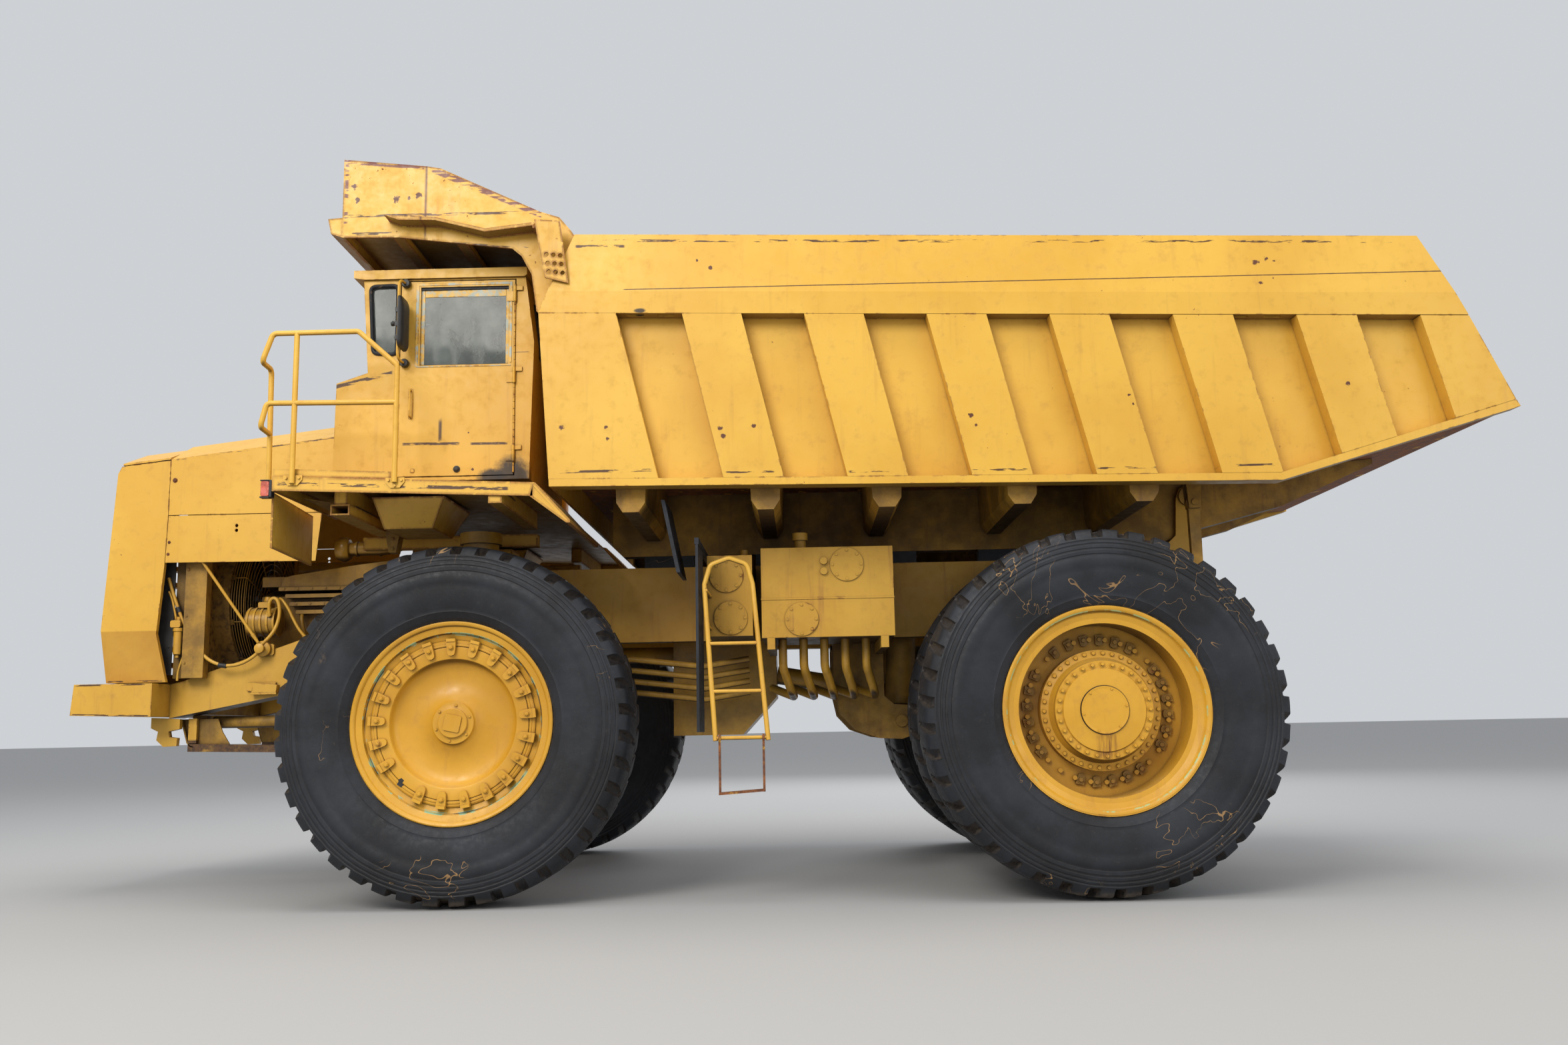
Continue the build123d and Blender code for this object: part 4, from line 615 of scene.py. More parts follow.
# ---------------------------------------------------------------- building pieces from simple runs
class Build:
    """Collects corners and faces of one piece."""

    def __init__(self):
        self.corners = []
        self.faces = []

    def _add(self, corners, faces):
        shift = len(self.corners)
        self.corners.extend(Vector(c) for c in corners)
        self.faces.extend(tuple(i + shift for i in face) for face in faces)

    def lathe(self, profile, centre, axis=(0, 1, 0), segments=96, closed=True, start=0.0):
        """Turns (radius, depth along axis) points about an axis through centre."""
        axis = Vector(axis).normalized()
        first = axis.orthogonal().normalized() if abs(axis.y) < 0.9 else Vector((1, 0, 0))
        second = axis.cross(first)
        corners = []
        for radius, depth in profile:
            for step in range(segments):
                angle = start + 2 * math.pi * step / segments
                ray = first * math.cos(angle) + second * math.sin(angle)
                corners.append(Vector(centre) + axis * depth + ray * radius)
        faces = []
        rows = len(profile)
        for row in range(rows if closed else rows - 1):
            after_row = (row + 1) % rows
            for step in range(segments):
                after = (step + 1) % segments
                faces.append((row * segments + step, row * segments + after, after_row * segments + after,
                              after_row * segments + step))
        self._add(corners, faces)

    def prism(self, outline, low, high, place=None):
        """An outline in X and Z extruded along Y from low to high, then moved by a matrix."""
        place = place or Matrix.Identity(4)
        count = len(outline)
        corners = [place @ Vector((x, low, z)) for x, z in outline]
        corners += [place @ Vector((x, high, z)) for x, z in outline]
        faces = [tuple(range(count)), tuple(range(2 * count - 1, count - 1, -1))]
        for i in range(count):
            j = (i + 1) % count
            faces.append((i, j, j + count, i + count))
        self._add(corners, faces)

    def slab(self, x0, x1, y0, y1, z0, z1, trim=0.004, place=None):
        """A plate with its long edges trimmed, seen along Y."""
        outline = [(x0 + trim, z0), (x1 - trim, z0), (x1, z0 + trim), (x1, z1 - trim), (x1 - trim, z1),
                   (x0 + trim, z1), (x0, z1 - trim), (x0, z0 + trim)]
        self.prism(outline, y0, y1, place)

    def tube(self, points, radius, closed=False, sides=12):
        """A round bar along points; radius is one number or one for each point."""
        points = [Vector(p) for p in points]
        count = len(points)
        radii = radius if isinstance(radius, (list, tuple)) else [radius] * count
        corners = []
        up = None
        for i, point in enumerate(points):
            before = points[i - 1] if i or closed else point
            after = points[(i + 1) % count] if i < count - 1 or closed else point
            ahead = (after - before).normalized()
            up = ahead.orthogonal() if up is None else up - ahead * up.dot(ahead)
            up.normalize()
            right = ahead.cross(up)
            for side in range(sides):
                angle = 2 * math.pi * side / sides
                corners.append(point + (up * math.cos(angle) + right * math.sin(angle)) * radii[i])
        faces = []
        for i in range(count if closed else count - 1):
            j = (i + 1) % count
            for side in range(sides):
                after = (side + 1) % sides
                faces.append((i * sides + side, i * sides + after, j * sides + after, j * sides + side))
        if not closed:
            faces.append(tuple(range(sides)))
            faces.append(tuple(range(count * sides - 1, (count - 1) * sides - 1, -1)))
        self._add(corners, faces)

    def bolt(self, centre, axis, size=0.02, height=0.014, washer=True):
        """Hexagon head on a washer, standing out along axis."""
        axis = Vector(axis).normalized()
        centre = Vector(centre)
        if washer:
            self.lathe([(0.0001, 0), (size * 1.45, 0), (size * 1.45, height * 0.25), (0.0001, height * 0.25)],
                       centre, axis, 18)
        self.lathe([(0.0001, 0), (size, 0), (size, height * 0.85), (size * 0.86, height), (0.0001, height)],
                   centre, axis, 6, start=size * 40)

    def piece(self, name, material, body, sharp=35, replaced=(), slot=None, bevel=0.0):
        made = make_piece(name, self.corners, self.faces, material, body, sharp, replaced)
        if bevel:
            trim = made.modifiers.new("trim", "BEVEL")
            trim.width = bevel
            trim.segments = 2
            trim.limit_method = "ANGLE"
        return made


def rounded(points, radius, steps=5):
    """A closed outline with round corners, as (a, b) pairs."""
    out = []
    count = len(points)
    for i in range(count):
        here = Vector(points[i])
        before = (Vector(points[i - 1]) - here).normalized()
        after = (Vector(points[(i + 1) % count]) - here).normalized()
        half = before.angle(after) / 2
        reach = radius / math.tan(half)
        start, end = here + before * reach, here + after * reach
        for k in range(steps + 1):
            t = k / steps
            out.append(start * (1 - t) ** 2 + here * 2 * t * (1 - t) + end * t * t)
    return [(p.x, p.y) for p in out]


def curved(points, steps=6):
    """An open path with its corners eased, through the middle of each run."""
    points = [Vector(p) for p in points]
    out = [points[0]]
    for i in range(1, len(points) - 1):
        start = (points[i - 1] + points[i]) / 2 if i > 1 else points[0].lerp(points[1], 0.55)
        end = (points[i] + points[i + 1]) / 2 if i < len(points) - 2 else points[i].lerp(points[i + 1], 0.45)
        for k in range(steps + 1):
            t = k / steps
            out.append(start * (1 - t) ** 2 + points[i] * 2 * t * (1 - t) + end * t * t)
    out.append(points[-1])
    return out


def spun(x, y, angle):
    """Matrix that turns a piece drawn on the +X side of a wheel about the wheel's axis."""
    return Matrix.Translation((x, y, AXLE_Z)) @ Matrix.Rotation(-angle, 4, "Y")


# ---------------------------------------------------------------- wheels
CLAMP_COUNT, CLAMP_PHASE, MISSING_CLAMP = 21, math.radians(91.7), 8


def wheel_finish(name, x, rings, stain=None):
    """Wheel paint with chipped blue-green primer along rings, dark joints and, where asked, a rust stain."""
    material = paint(name, wear=0.2, grime=0.55, chips=0.05, edge=0.006, deep=0.5, gloss=0.40,
                     tones=((0.76, 0.405, 0.034), (0.57, 0.275, 0.014)))
    s = Shader.of(material)
    far_x = s.math("SUBTRACT", s.axis(s.place, "X"), x)
    far_z = s.math("SUBTRACT", s.axis(s.place, "Z"), AXLE_Z)
    radius = s.math("SQRT", s.math("ADD", s.math("MULTIPLY", far_x, far_x), s.math("MULTIPLY", far_z, far_z)))
    colour = s.base_source()
    for middle, half, patchy, shade in rings:
        offset = s.math("ABSOLUTE", s.math("SUBTRACT", radius, middle))
        band = s.span(offset, half * 0.6, half, 1, 0)
        if patchy:
            band = s.math("MULTIPLY", band, s.span(s.noise(9, 6, 0.7), 0.50, 0.56))
        colour = s.blend(band, colour, shade)
    if stain:
        run = s.math("ADD", s.math("ABSOLUTE", far_x), s.math("MULTIPLY", s.noise(18, 5), 0.05))
        below = s.math("MULTIPLY", s.span(far_z, -0.37, -0.30), s.span(far_z, -0.19, -0.14, 1, 0))
        wide = s.math("MULTIPLY", s.span(run, 0.05, 0.12, 1, 0), below)
        streak = s.math("MULTIPLY", wide, s.span(s.noise(1, 5, 0.6, s.stretched((34, 34, 3))), 0.36, 0.60))
        colour = s.blend(s.math("MULTIPLY", streak, stain), colour, (0.15, 0.045, 0.012))
    s.set(Base_Color=colour)
    return material


TEAL = (0.30, 0.50, 0.31)
JOINT = (0.018, 0.010, 0.004)
front_wheel_paint = wheel_finish("front_wheel_paint", FRONT_X,
                                 [(0.652, 0.0075, True, TEAL), (0.640, 0.004, True, (0.30, 0.45, 0.28))])
rear_wheel_paint = wheel_finish("rear_wheel_paint", REAR_X, [(0.705, 0.006, True, (0.42, 0.50, 0.22)),
                                                            (0.1725, 0.004, False, JOINT)], stain=0.95)
RIM_FACE = [(0.60, 0.225), (0.640, 0.236), (0.650, 0.243), (0.655, 0.249), (0.662, 0.250), (0.668, 0.243),
            (0.680, 0.246), (0.694, 0.262), (0.700, 0.279), (0.706, 0.290), (0.716, 0.297), (0.728, 0.300),
            (0.736, 0.296), (0.738, 0.289), (0.733, 0.282), (0.700, 0.276), (0.655, 0.262), (0.642, 0.230)]
RIM_INNER = [(0.642, -0.284), (0.700, -0.286), (0.734, -0.290), (0.738, -0.295), (0.734, -0.300),
             (0.712, -0.297),
             (0.690, -0.280), (0.660, -0.250), (0.620, -0.200), (0.615, -0.100), (0.606, 0.10), (0.600, 0.20)]


def front_wheel(side, sign):
    """Rim, gutter, dished hub, wedge clamps with nuts, hub bolts and the tilted square plate."""
    centre = (FRONT_X, sign * FRONT_Y, AXLE_Z)
    out = (0, sign, 0)
    wheel = Build()
    wheel.lathe(RIM_FACE + RIM_INNER, centre, out, 144)
    dish = [(0.578, 0.150), (0.578, 0.243), (0.574, 0.2475), (0.562, 0.2480)]
    inner = [(0.5565, 0.2440), (0.5565, 0.2300), (0.5525, 0.2300), (0.5525, 0.2460), (0.548, 0.2485),
             (0.472, 0.2485),
             (0.466, 0.2465), (0.4605, 0.2400), (0.4570, 0.2270), (0.4500, 0.2090), (0.4350, 0.1900),
             (0.4100, 0.1760), (0.3700, 0.1670), (0.3200, 0.1640), (0.2800, 0.1670), (0.2400, 0.1760),
             (0.2050, 0.1920), (0.1800, 0.2080), (0.1620, 0.2200), (0.1540, 0.2300), (0.1520, 0.2380),
             (0.1480, 0.2420), (0.1120, 0.2430), (0.1075, 0.2450), (0.1075, 0.2580), (0.1020, 0.2630),
             (0.0001, 0.2635), (0.0001, 0.1600), (0.0900, 0.1600), (0.1001, 0.1400), (0.1001, -0.3000),
             (0.1900, -0.3000), (0.2100, 0.1000), (0.3300, 0.1400), (0.4400, 0.1500)]
    wheel.lathe([(0.600, 0.150), (0.600, 0.236)] + [(0.590, 0.2430)] + dish[1:] + inner, centre, out, 144)
    for index in range(CLAMP_COUNT):
        angle = CLAMP_PHASE + index * 2 * math.pi / CLAMP_COUNT
        place = spun(FRONT_X, sign * FRONT_Y, angle)
        if index == MISSING_CLAMP:
            continue
        shape = [(0.612, -0.033), (0.612, 0.033), (0.585, 0.034), (0.540, 0.031), (0.506, 0.027),
                 (0.492, 0.018),
                 (0.487, 0.0), (0.492, -0.018), (0.506, -0.027), (0.540, -0.031), (0.585, -0.034)]
        low, high = sorted((sign * 0.246, sign * 0.278))
        wheel.prism(shape, low, high, place)
        seat = [(0.612, -0.033), (0.612, 0.033), (0.590, 0.033), (0.590, -0.033)]
        low, high = sorted((sign * 0.240, sign * 0.286))
        wheel.prism(seat, low, high, place)
        head = place @ Vector((0.548, sign * 0.278, 0))
        wheel.lathe([(0.0001, 0), (0.0225, 0), (0.0225, 0.004), (0.0001, 0.004)], head, out, 20)
        wheel.bolt(head, out, 0.0165, 0.018, washer=False)
        wheel.lathe([(0.0001, 0.016), (0.009, 0.016), (0.008, 0.0205), (0.0001, 0.021)], head, out, 10)
    for index in range(6):
        angle = math.radians(20 + index * 60)
        place = (FRONT_X + 0.129 * math.cos(angle), sign * (FRONT_Y + 0.2425),
                 AXLE_Z + 0.129 * math.sin(angle))
        wheel.bolt(place, out, 0.0085, 0.009)
    low, high = sorted((sign * 0.262, sign * 0.273))
    tilt = Matrix.Translation((FRONT_X, sign * FRONT_Y, AXLE_Z)) @ Matrix.Rotation(math.radians(12), 4, "Y")
    wheel.slab(-0.06, 0.06, low, high, -0.06, 0.06, 0.008, tilt)
    wheel.piece(side + "_front_rim", front_wheel_paint, side + "_front_wheel", 28,
                replaced=[side + "_front_wheel"], slot="yellow_paint", bevel=0.0025)
    # Near-black sheets as painted shade: a thin ring at the bottom of the groove between dish and rim flange,
    # and a flat patch over the pocket where a clamp is missing.
    joint = Build()
    joint.lathe([(0.5530, 0.2320), (0.5560, 0.2320), (0.5560, 0.2330), (0.5530, 0.2330)], centre, out, 144)
    pocket = CLAMP_PHASE + MISSING_CLAMP * 2 * math.pi / CLAMP_COUNT
    shape = [(0.585, -0.016), (0.580, 0.020), (0.556, 0.026), (0.552, 0.008), (0.530, 0.006), (0.528, -0.020),
             (0.548, -0.030), (0.562, -0.020)]
    low, high = sorted((sign * 0.2480, sign * 0.2488))
    joint.prism(shape, low, high, spun(FRONT_X, sign * FRONT_Y, pocket))
    joint.piece(side + "_gap_and_valve_pocket_shade", dark_paint, side + "_front_wheel")


def rear_wheel_details(side, sign):
    """Clamp blocks and nuts deep in the rim, cover screws and the flat ring behind the outer flange."""
    out = (0, sign, 0)
    body = side + "_rear_wheel"
    y = sign * REAR_OUTER_Y
    clamps = Build()
    for index in range(28):
        if index in (9, 10, 3, 17, 24):
            continue
        angle = math.radians(4 + index * 360 / 28)
        place = spun(REAR_X, y, -angle)
        low, high = sorted((-sign * 0.040, -sign * 0.012))
        clamps.prism([(0.478, -0.024), (0.470, 0.0), (0.478, 0.024), (0.545, 0.030), (0.552, -0.030)], low,
                     high, place)
        head = place @ Vector((0.515, -sign * 0.012, 0))
        clamps.bolt(head, out, 0.0185, 0.018)
    clamps.piece(side + "_rear_clamps", dirty_shaded_wheel_paint, body, slot="yellow_paint", bevel=0.002)
    heads = Build()
    for count, radius, depth, size, phase in ((28, 0.325, 0.2045, 0.0135, 0), (38, 0.410, 0.086, 0.0150, 0)):
        for index in range(count):
            angle = math.radians(phase + 360 * index / count)
            spot = (REAR_X + radius * math.cos(angle), y + sign * depth, AXLE_Z + radius * math.sin(angle))
            heads.bolt(spot, out, size, 0.022 if count == 28 else 0.020)
    for index in range(6):
        angle = math.radians(70 + 60 * index)
        spot = (REAR_X + 0.155 * math.cos(angle), y + sign * 0.234, AXLE_Z + 0.155 * math.sin(angle))
        heads.bolt(spot, out, 0.0075, 0.007)
    heads.piece(side + "_rear_hub_bolts", rear_wheel_paint, body, slot="yellow_paint")
    face = Build()
    face.lathe([(0.616, 0.232), (0.640, 0.240), (0.662, 0.246), (0.676, 0.250), (0.690, 0.262),
                (0.698, 0.279),
                (0.706, 0.291), (0.716, 0.298), (0.728, 0.3005), (0.737, 0.297), (0.7385, 0.290),
                (0.730, 0.286),
                (0.706, 0.286), (0.690, 0.270), (0.660, 0.240), (0.616, 0.200)], (REAR_X, y, AXLE_Z), out,
                144)
    face.lathe([(0.0001, 0.2335), (0.150, 0.2335), (0.158, 0.236), (0.1675, 0.2365), (0.1695, 0.234),
                (0.1695, 0.220),
                (0.0001, 0.220)], (REAR_X, y, AXLE_Z), out, 96)
    face.lathe([(0.176, 0.2215), (0.284, 0.2175), (0.2925, 0.2165), (0.2950, 0.2120), (0.3000, 0.2060),
                (0.3470, 0.2060), (0.3500, 0.2030), (0.3490, 0.1960), (0.176, 0.1960)], (REAR_X, y, AXLE_Z),
                out, 96)
    face.piece(side + "_rear_flange_ring", rear_wheel_paint, body, 28, slot="yellow_paint")


# A darker, grimier copy for the clamps deep in the rear rims: partly dirt, partly painted shade for the deep
# rim.
dirty_shaded_wheel_paint = paint("dirty_shaded_wheel_paint", wear=0.3, grime=0.9, chips=0.2, deep=0.95, dirt=0.45)
for side, sign in (("left", -1), ("right", 1)):
    front_wheel(side, sign)
    rear_wheel_details(side, sign)
    for slot in nodes[side + "_rear_wheel"].material_slots:
        slot.material = rear_wheel_paint


# ---------------------------------------------------------------- marks on the paint
SCRAPE = (0.085, 0.036, 0.012)
PURPLE_RUST = (0.19, 0.060, 0.040)


def add_marks(material, lines=(), spots=(), shadows=(), beyond=-1.96):
    """Scraped lines, small bare spots and painted shadows, each at a place on the truck's left side.

    A line is (x from, x to, z at its start, lean, half height, how patchy, colour); a spot is
    (x, z, radius); a shadow is (x, z, reach in x, reach in z). Marks lie only past y = beyond."""
    s = Shader.of(material)
    x, y, z = (s.axis(s.place, name) for name in "XYZ")
    outside = s.span(y, beyond - 0.01, beyond + 0.01, 1, 0)
    ragged = s.noise(19, 6, 0.7)
    broken = s.noise(1, 5, 0.6, s.stretched((6, 1, 40)))
    colour = s.base_source()
    masks = []
    for x0, x1, z0, lean, half, patchy, shade in lines:
        level = s.math("ADD", s.math("MULTIPLY", s.math("SUBTRACT", x, x0), lean), z0)
        off = s.math("ABSOLUTE", s.math("SUBTRACT", z, level))
        off = s.math("SUBTRACT", off, s.math("MULTIPLY", ragged, half * 0.9))
        band = s.span(off, half * 0.25, half * 0.75, 1, 0)
        band = s.math("MULTIPLY", band, s.math("MULTIPLY", s.span(x, x0 - 0.01, x0 + 0.01),
                                               s.span(x, x1 - 0.01, x1 + 0.01, 1, 0)))
        if patchy:
            band = s.math("MULTIPLY", band, s.span(broken, 0.40 + 0.14 * patchy, 0.45 + 0.14 * patchy))
        masks.append((s.math("MULTIPLY", band, outside), shade))
    for x0, z0, radius in spots:
        dx = s.math("SUBTRACT", x, x0)
        dz = s.math("SUBTRACT", z, z0)
        far = s.math("SQRT", s.math("ADD", s.math("MULTIPLY", dx, dx), s.math("MULTIPLY", dz, dz)))
        far = s.math("ADD", far, s.math("MULTIPLY", ragged, radius * 2.2))
        masks.append((s.math("MULTIPLY", s.span(far, radius * 1.45, radius * 1.6, 1, 0), outside), RUST))
    # painted shadows: soft dark patches where shade falls on the paint
    for x0, z0, reach_x, reach_z in shadows:
        dx = s.math("DIVIDE", s.math("SUBTRACT", x, x0), reach_x)
        dz = s.math("DIVIDE", s.math("SUBTRACT", z, z0), reach_z)
        far = s.math("SQRT", s.math("ADD", s.math("MULTIPLY", dx, dx), s.math("MULTIPLY", dz, dz)))
        far = s.math("ADD", far, s.math("MULTIPLY", s.math("SUBTRACT", ragged, 0.5), 0.7))
        masks.append((s.math("MULTIPLY", s.span(far, 0.55, 1.1, 0.96, 0), outside), PAINTED_SHADOW))
    for mask, shade in masks:
        colour = s.blend(mask, colour, shade)
    s.set(Base_Color=colour)


add_marks(body_paint,
          lines=[(-1.20, 4.90, 4.905, -0.0262, 0.011, 0.75, SCRAPE),
                 (-0.95, 5.16, 4.497, 0, 0.004, 0, SCRAPE),
                 (-1.42, -0.75, 3.115, 0.0, 0.010, 0.4, SCRAPE), (-0.20, 0.15, 3.085, 0, 0.008, 0.7, SCRAPE),
                 (0.70, 1.05, 3.070, 0, 0.008, 0.7, SCRAPE), (1.60, 2.00, 3.060, 0, 0.008, 0.5, SCRAPE),
                 (2.50, 2.95, 3.055, 0, 0.008, 0.6, SCRAPE), (3.40, 3.80, 3.055, 0, 0.008, 0.5, SCRAPE),
                 (-4.95, -4.45, 3.515, 0.0595, 0.012, 0.35, SCRAPE),
                 (-4.40, -3.30, 3.545, 0.0595, 0.009, 0.9, SCRAPE),
                 (-4.93, -3.62, 3.072, 0, 0.004, 0, SCRAPE), (-1.32, -0.95, 4.86, -0.02, 0.012, 0.5, SCRAPE)],
          spots=[(3.78, 4.60, 0.045), (3.86, 4.63, 0.035), (3.92, 4.61, 0.030), (3.80, 4.44, 0.030),
                 (3.90, 4.47, 0.022), (-0.24, 3.42, 0.040), (-0.22, 3.36, 0.030), (0.01, 3.43, 0.030),
                 (1.61, 3.47, 0.035), (1.64, 3.40, 0.026), (2.77, 3.60, 0.025), (2.80, 3.53, 0.022),
                 (4.38, 3.65, 0.032), (-1.41, 3.45, 0.038), (-1.08, 3.44, 0.030), (-1.07, 3.36, 0.030),
                 (4.30, 4.87, 0.035), (-0.30, 4.66, 0.030), (-0.40, 4.72, 0.022), (-4.30, 3.35, 0.022)],
          shadows=[(-0.83, 4.33, 0.05, 0.02)])
add_marks(cab_paint,
          lines=[(-2.705, -2.27, 3.440, -0.01, 0.011, 0.1, SCRAPE),
                 (-2.18, -1.90, 3.432, -0.01, 0.010, 0.1, SCRAPE),
                 (-2.430, -2.406, 3.540, 0, 0.085, 0.0, SCRAPE),
                 (-3.235, -2.80, 3.905, 0.235, 0.016, 0.25, SCRAPE),
                 (-1.85, -1.74, 4.15, 0, 0.0025, 0, SCRAPE)],
          spots=[(-2.20, 3.52, 0.012), (-2.285, 3.235, 0.030), (-2.16, 3.230, 0.022)],
          shadows=[(-1.86, 3.15, 0.17, 0.20), (-2.02, 3.17, 0.12, 0.07)])
add_marks(edge_paint,
          lines=[(-3.50, -2.75, 3.075, -0.044, 0.013, 0.55, SCRAPE),
                 (-2.60, -1.80, 3.035, -0.044, 0.014, 0.35, SCRAPE),
                 (-3.12, -1.66, 5.180, -0.003, 0.011, 0.3, SCRAPE),
                 (-3.11, -2.75, 5.035, 0, 0.012, 0.2, SCRAPE),
                 (-2.498, -2.482, 5.36, 0, 0.36, 0.0, RUST),
                 (-3.13, -2.50, 5.625, -0.10, 0.020, 0.35, PURPLE_RUST),
                 (-2.45, -1.60, 5.545, -0.46, 0.028, 0.30, PURPLE_RUST),
                 (-3.12, -3.09, 5.38, 0, 0.33, 0.7, PURPLE_RUST),
                 (-2.60, -1.66, 4.965, -0.09, 0.014, 0.7, SCRAPE)],
          spots=[(-3.05, 5.42, 0.050), (-3.02, 5.31, 0.045), (-2.72, 5.31, 0.050), (-2.62, 5.32, 0.035),
                 (-2.55, 5.33, 0.045), (-1.36, 4.70, 0.016), (-1.24, 4.60, 0.010)])


# ---------------------------------------------------------------- cab
CAB_Y = -2.05
WINDOW = (-2.59, -1.90, 4.06, 4.69)


def ring_outline(x0, x1, z0, z1, radius):
    return rounded([(x0, z0), (x1, z0), (x1, z1), (x0, z1)], radius)


def make_door_glass():
    """Aluminium sash and pane in the door, dropped a little so that the slot's dark top shows."""
    x0, x1, z0, z1 = WINDOW
    sash = Build()
    y0, y1 = CAB_Y + 0.020, CAB_Y + 0.030
    sash.slab(x0 - 0.012, x0 + 0.030, y0, y1, z0 - 0.015, z1 - 0.022)
    sash.slab(x1 - 0.026, x1 + 0.012, y0, y1, z0 - 0.015, z1 - 0.022)
    sash.slab(x0 + 0.030, x1 - 0.026, y0, y1, z1 - 0.078, z1 - 0.022)
    sash.slab(x0 + 0.030, x1 - 0.026, y0, y1, z0 - 0.015, z0 + 0.008)
    sash.piece("door_window_sash", sash_paint, "door_window", replaced=["door_window"], slot="window_frame",
               bevel=0.002)
    pane = Build()
    pane.prism(ring_outline(x0 + 0.026, x1 - 0.022, z0 + 0.004, z1 - 0.070, 0.012), CAB_Y + 0.0235,
               CAB_Y + 0.0265)
    pane.piece("door_window_pane", cab_glass, "door_window", replaced=["door_window"], slot="cab_glass")


def make_seals():
    """Rubber sections round the fixed panes and in the door's window slot."""
    seals = Build()
    quarter = rounded([(-2.952, 4.163), (-2.768, 4.150), (-2.768, 4.710), (-2.985, 4.704)], 0.045)
    seals.tube([(x, CAB_Y - 0.003, z) for x, z in quarter], 0.015, closed=True, sides=10)
    screen = rounded([(-1.895, 4.115), (-0.805, 4.115), (-0.805, 4.655), (-1.895, 4.655)], 0.05)
    seals.tube([(-2.975 - (z - 4.11) * 0.0673 - 0.008, y, z) for y, z in screen], 0.014, closed=True,
               sides=10)
    rear = rounded([(-1.845, 4.155), (-0.855, 4.155), (-0.855, 4.595), (-1.845, 4.595)], 0.05)
    seals.tube([(-1.700 - max(0.0, z - 4.23) * 0.133 + 0.004, y, z) for y, z in rear], 0.013, closed=True,
               sides=10)
    side = rounded([(-2.795, 4.105), (-1.955, 4.105), (-1.955, 4.655), (-2.795, 4.655)], 0.05)
    seals.tube([(x, -0.647, z) for x, z in side], 0.012, closed=True, sides=10)
    seals.piece("window_seals", seal_rubber, "chassis", slot="black_rubber")
    slot = Build()
    x0, x1, z0, z1 = WINDOW
    slot.slab(x0 - 0.010, x1 + 0.010, CAB_Y + 0.012, CAB_Y + 0.015, z1 - 0.020, z1 + 0.006)
    slot.slab(x0 + 0.002, x1 - 0.002, CAB_Y + 0.006, CAB_Y + 0.014, z0 - 0.008, z0 + 0.004)
    slot.piece("door_slot_seal", seal_rubber, "cab_door", slot="black_rubber")


def make_door_trim():
    """Window border strip, recessed handle plate, lower stop, hinge strip and mirror arm sockets."""
    x0, x1, z0, z1 = WINDOW
    strip = Build()
    y0, y1 = CAB_Y - 0.004, CAB_Y + 0.001
    strip.slab(x0 - 0.034, x0 - 0.012, y0, y1, z0 - 0.010, z1 + 0.030)
    strip.slab(x1 + 0.008, x1 + 0.026, y0, y1, z0 + 0.010, z1 + 0.030)
    strip.slab(x0 - 0.012, x1 + 0.008, y0, y1, z1 + 0.012, z1 + 0.030)
    strip.slab(x0 - 0.020, x1 + 0.020, y0, y1, z0 - 0.016, z0 - 0.008, 0.002)
    strip.piece("door_window_border", sash_paint, "cab_door", slot="window_frame")
    plate = Build()
    plate.prism(rounded([(-2.668, 3.635), (-2.632, 3.635), (-2.632, 3.875), (-2.668, 3.875)], 0.015),
                CAB_Y - 0.003, CAB_Y + 0.002)
    plate.prism(rounded([(-2.640, 3.215), (-2.610, 3.215), (-2.610, 3.245), (-2.640, 3.245)], 0.008),
                CAB_Y - 0.006, CAB_Y + 0.002)
    plate.piece("door_handle_plate", ladder_paint, "cab_door", slot="yellow_paint")
    knob = Build()
    knob.lathe([(0.0001, 0), (0.026, 0), (0.026, 0.006), (0.018, 0.009), (0.013, 0.020), (0.0001, 0.021)],
               (-2.285, CAB_Y, 3.235), (0, -1, 0), 28)
    knob.piece("door_stop", dark_paint, "cab_door", slot="black_rubber")
    hinge = Build()
    profile = []
    count = 27
    for index in range(count):
        low = 3.20 + index * 1.50 / count
        high = low + 1.50 / count - 0.003
        profile += [(0.0045, low), (0.0075, low + 0.001), (0.0075, high - 0.001), (0.0045, high)]
    hinge.lathe([(0.0001, 3.20)] + profile + [(0.0001, 4.70)], (-1.8505, CAB_Y - 0.005, 0), (0, 0, 1), 14)
    hinge.piece("door_hinge_strip", ladder_paint, "chassis", slot="yellow_paint")
    cap = Build()
    for z in (4.715, 4.075):
        cap.lathe([(0.0001, 0), (0.030, 0), (0.034, 0.006), (0.034, 0.034), (0.028, 0.044), (0.0001, 0.045)],
                  (-2.700, CAB_Y - 0.001, z), (0, -1, 0), 28)
    cap.piece("mirror_arm_sockets", black_plastic, "cab_door", slot="black_plastic")


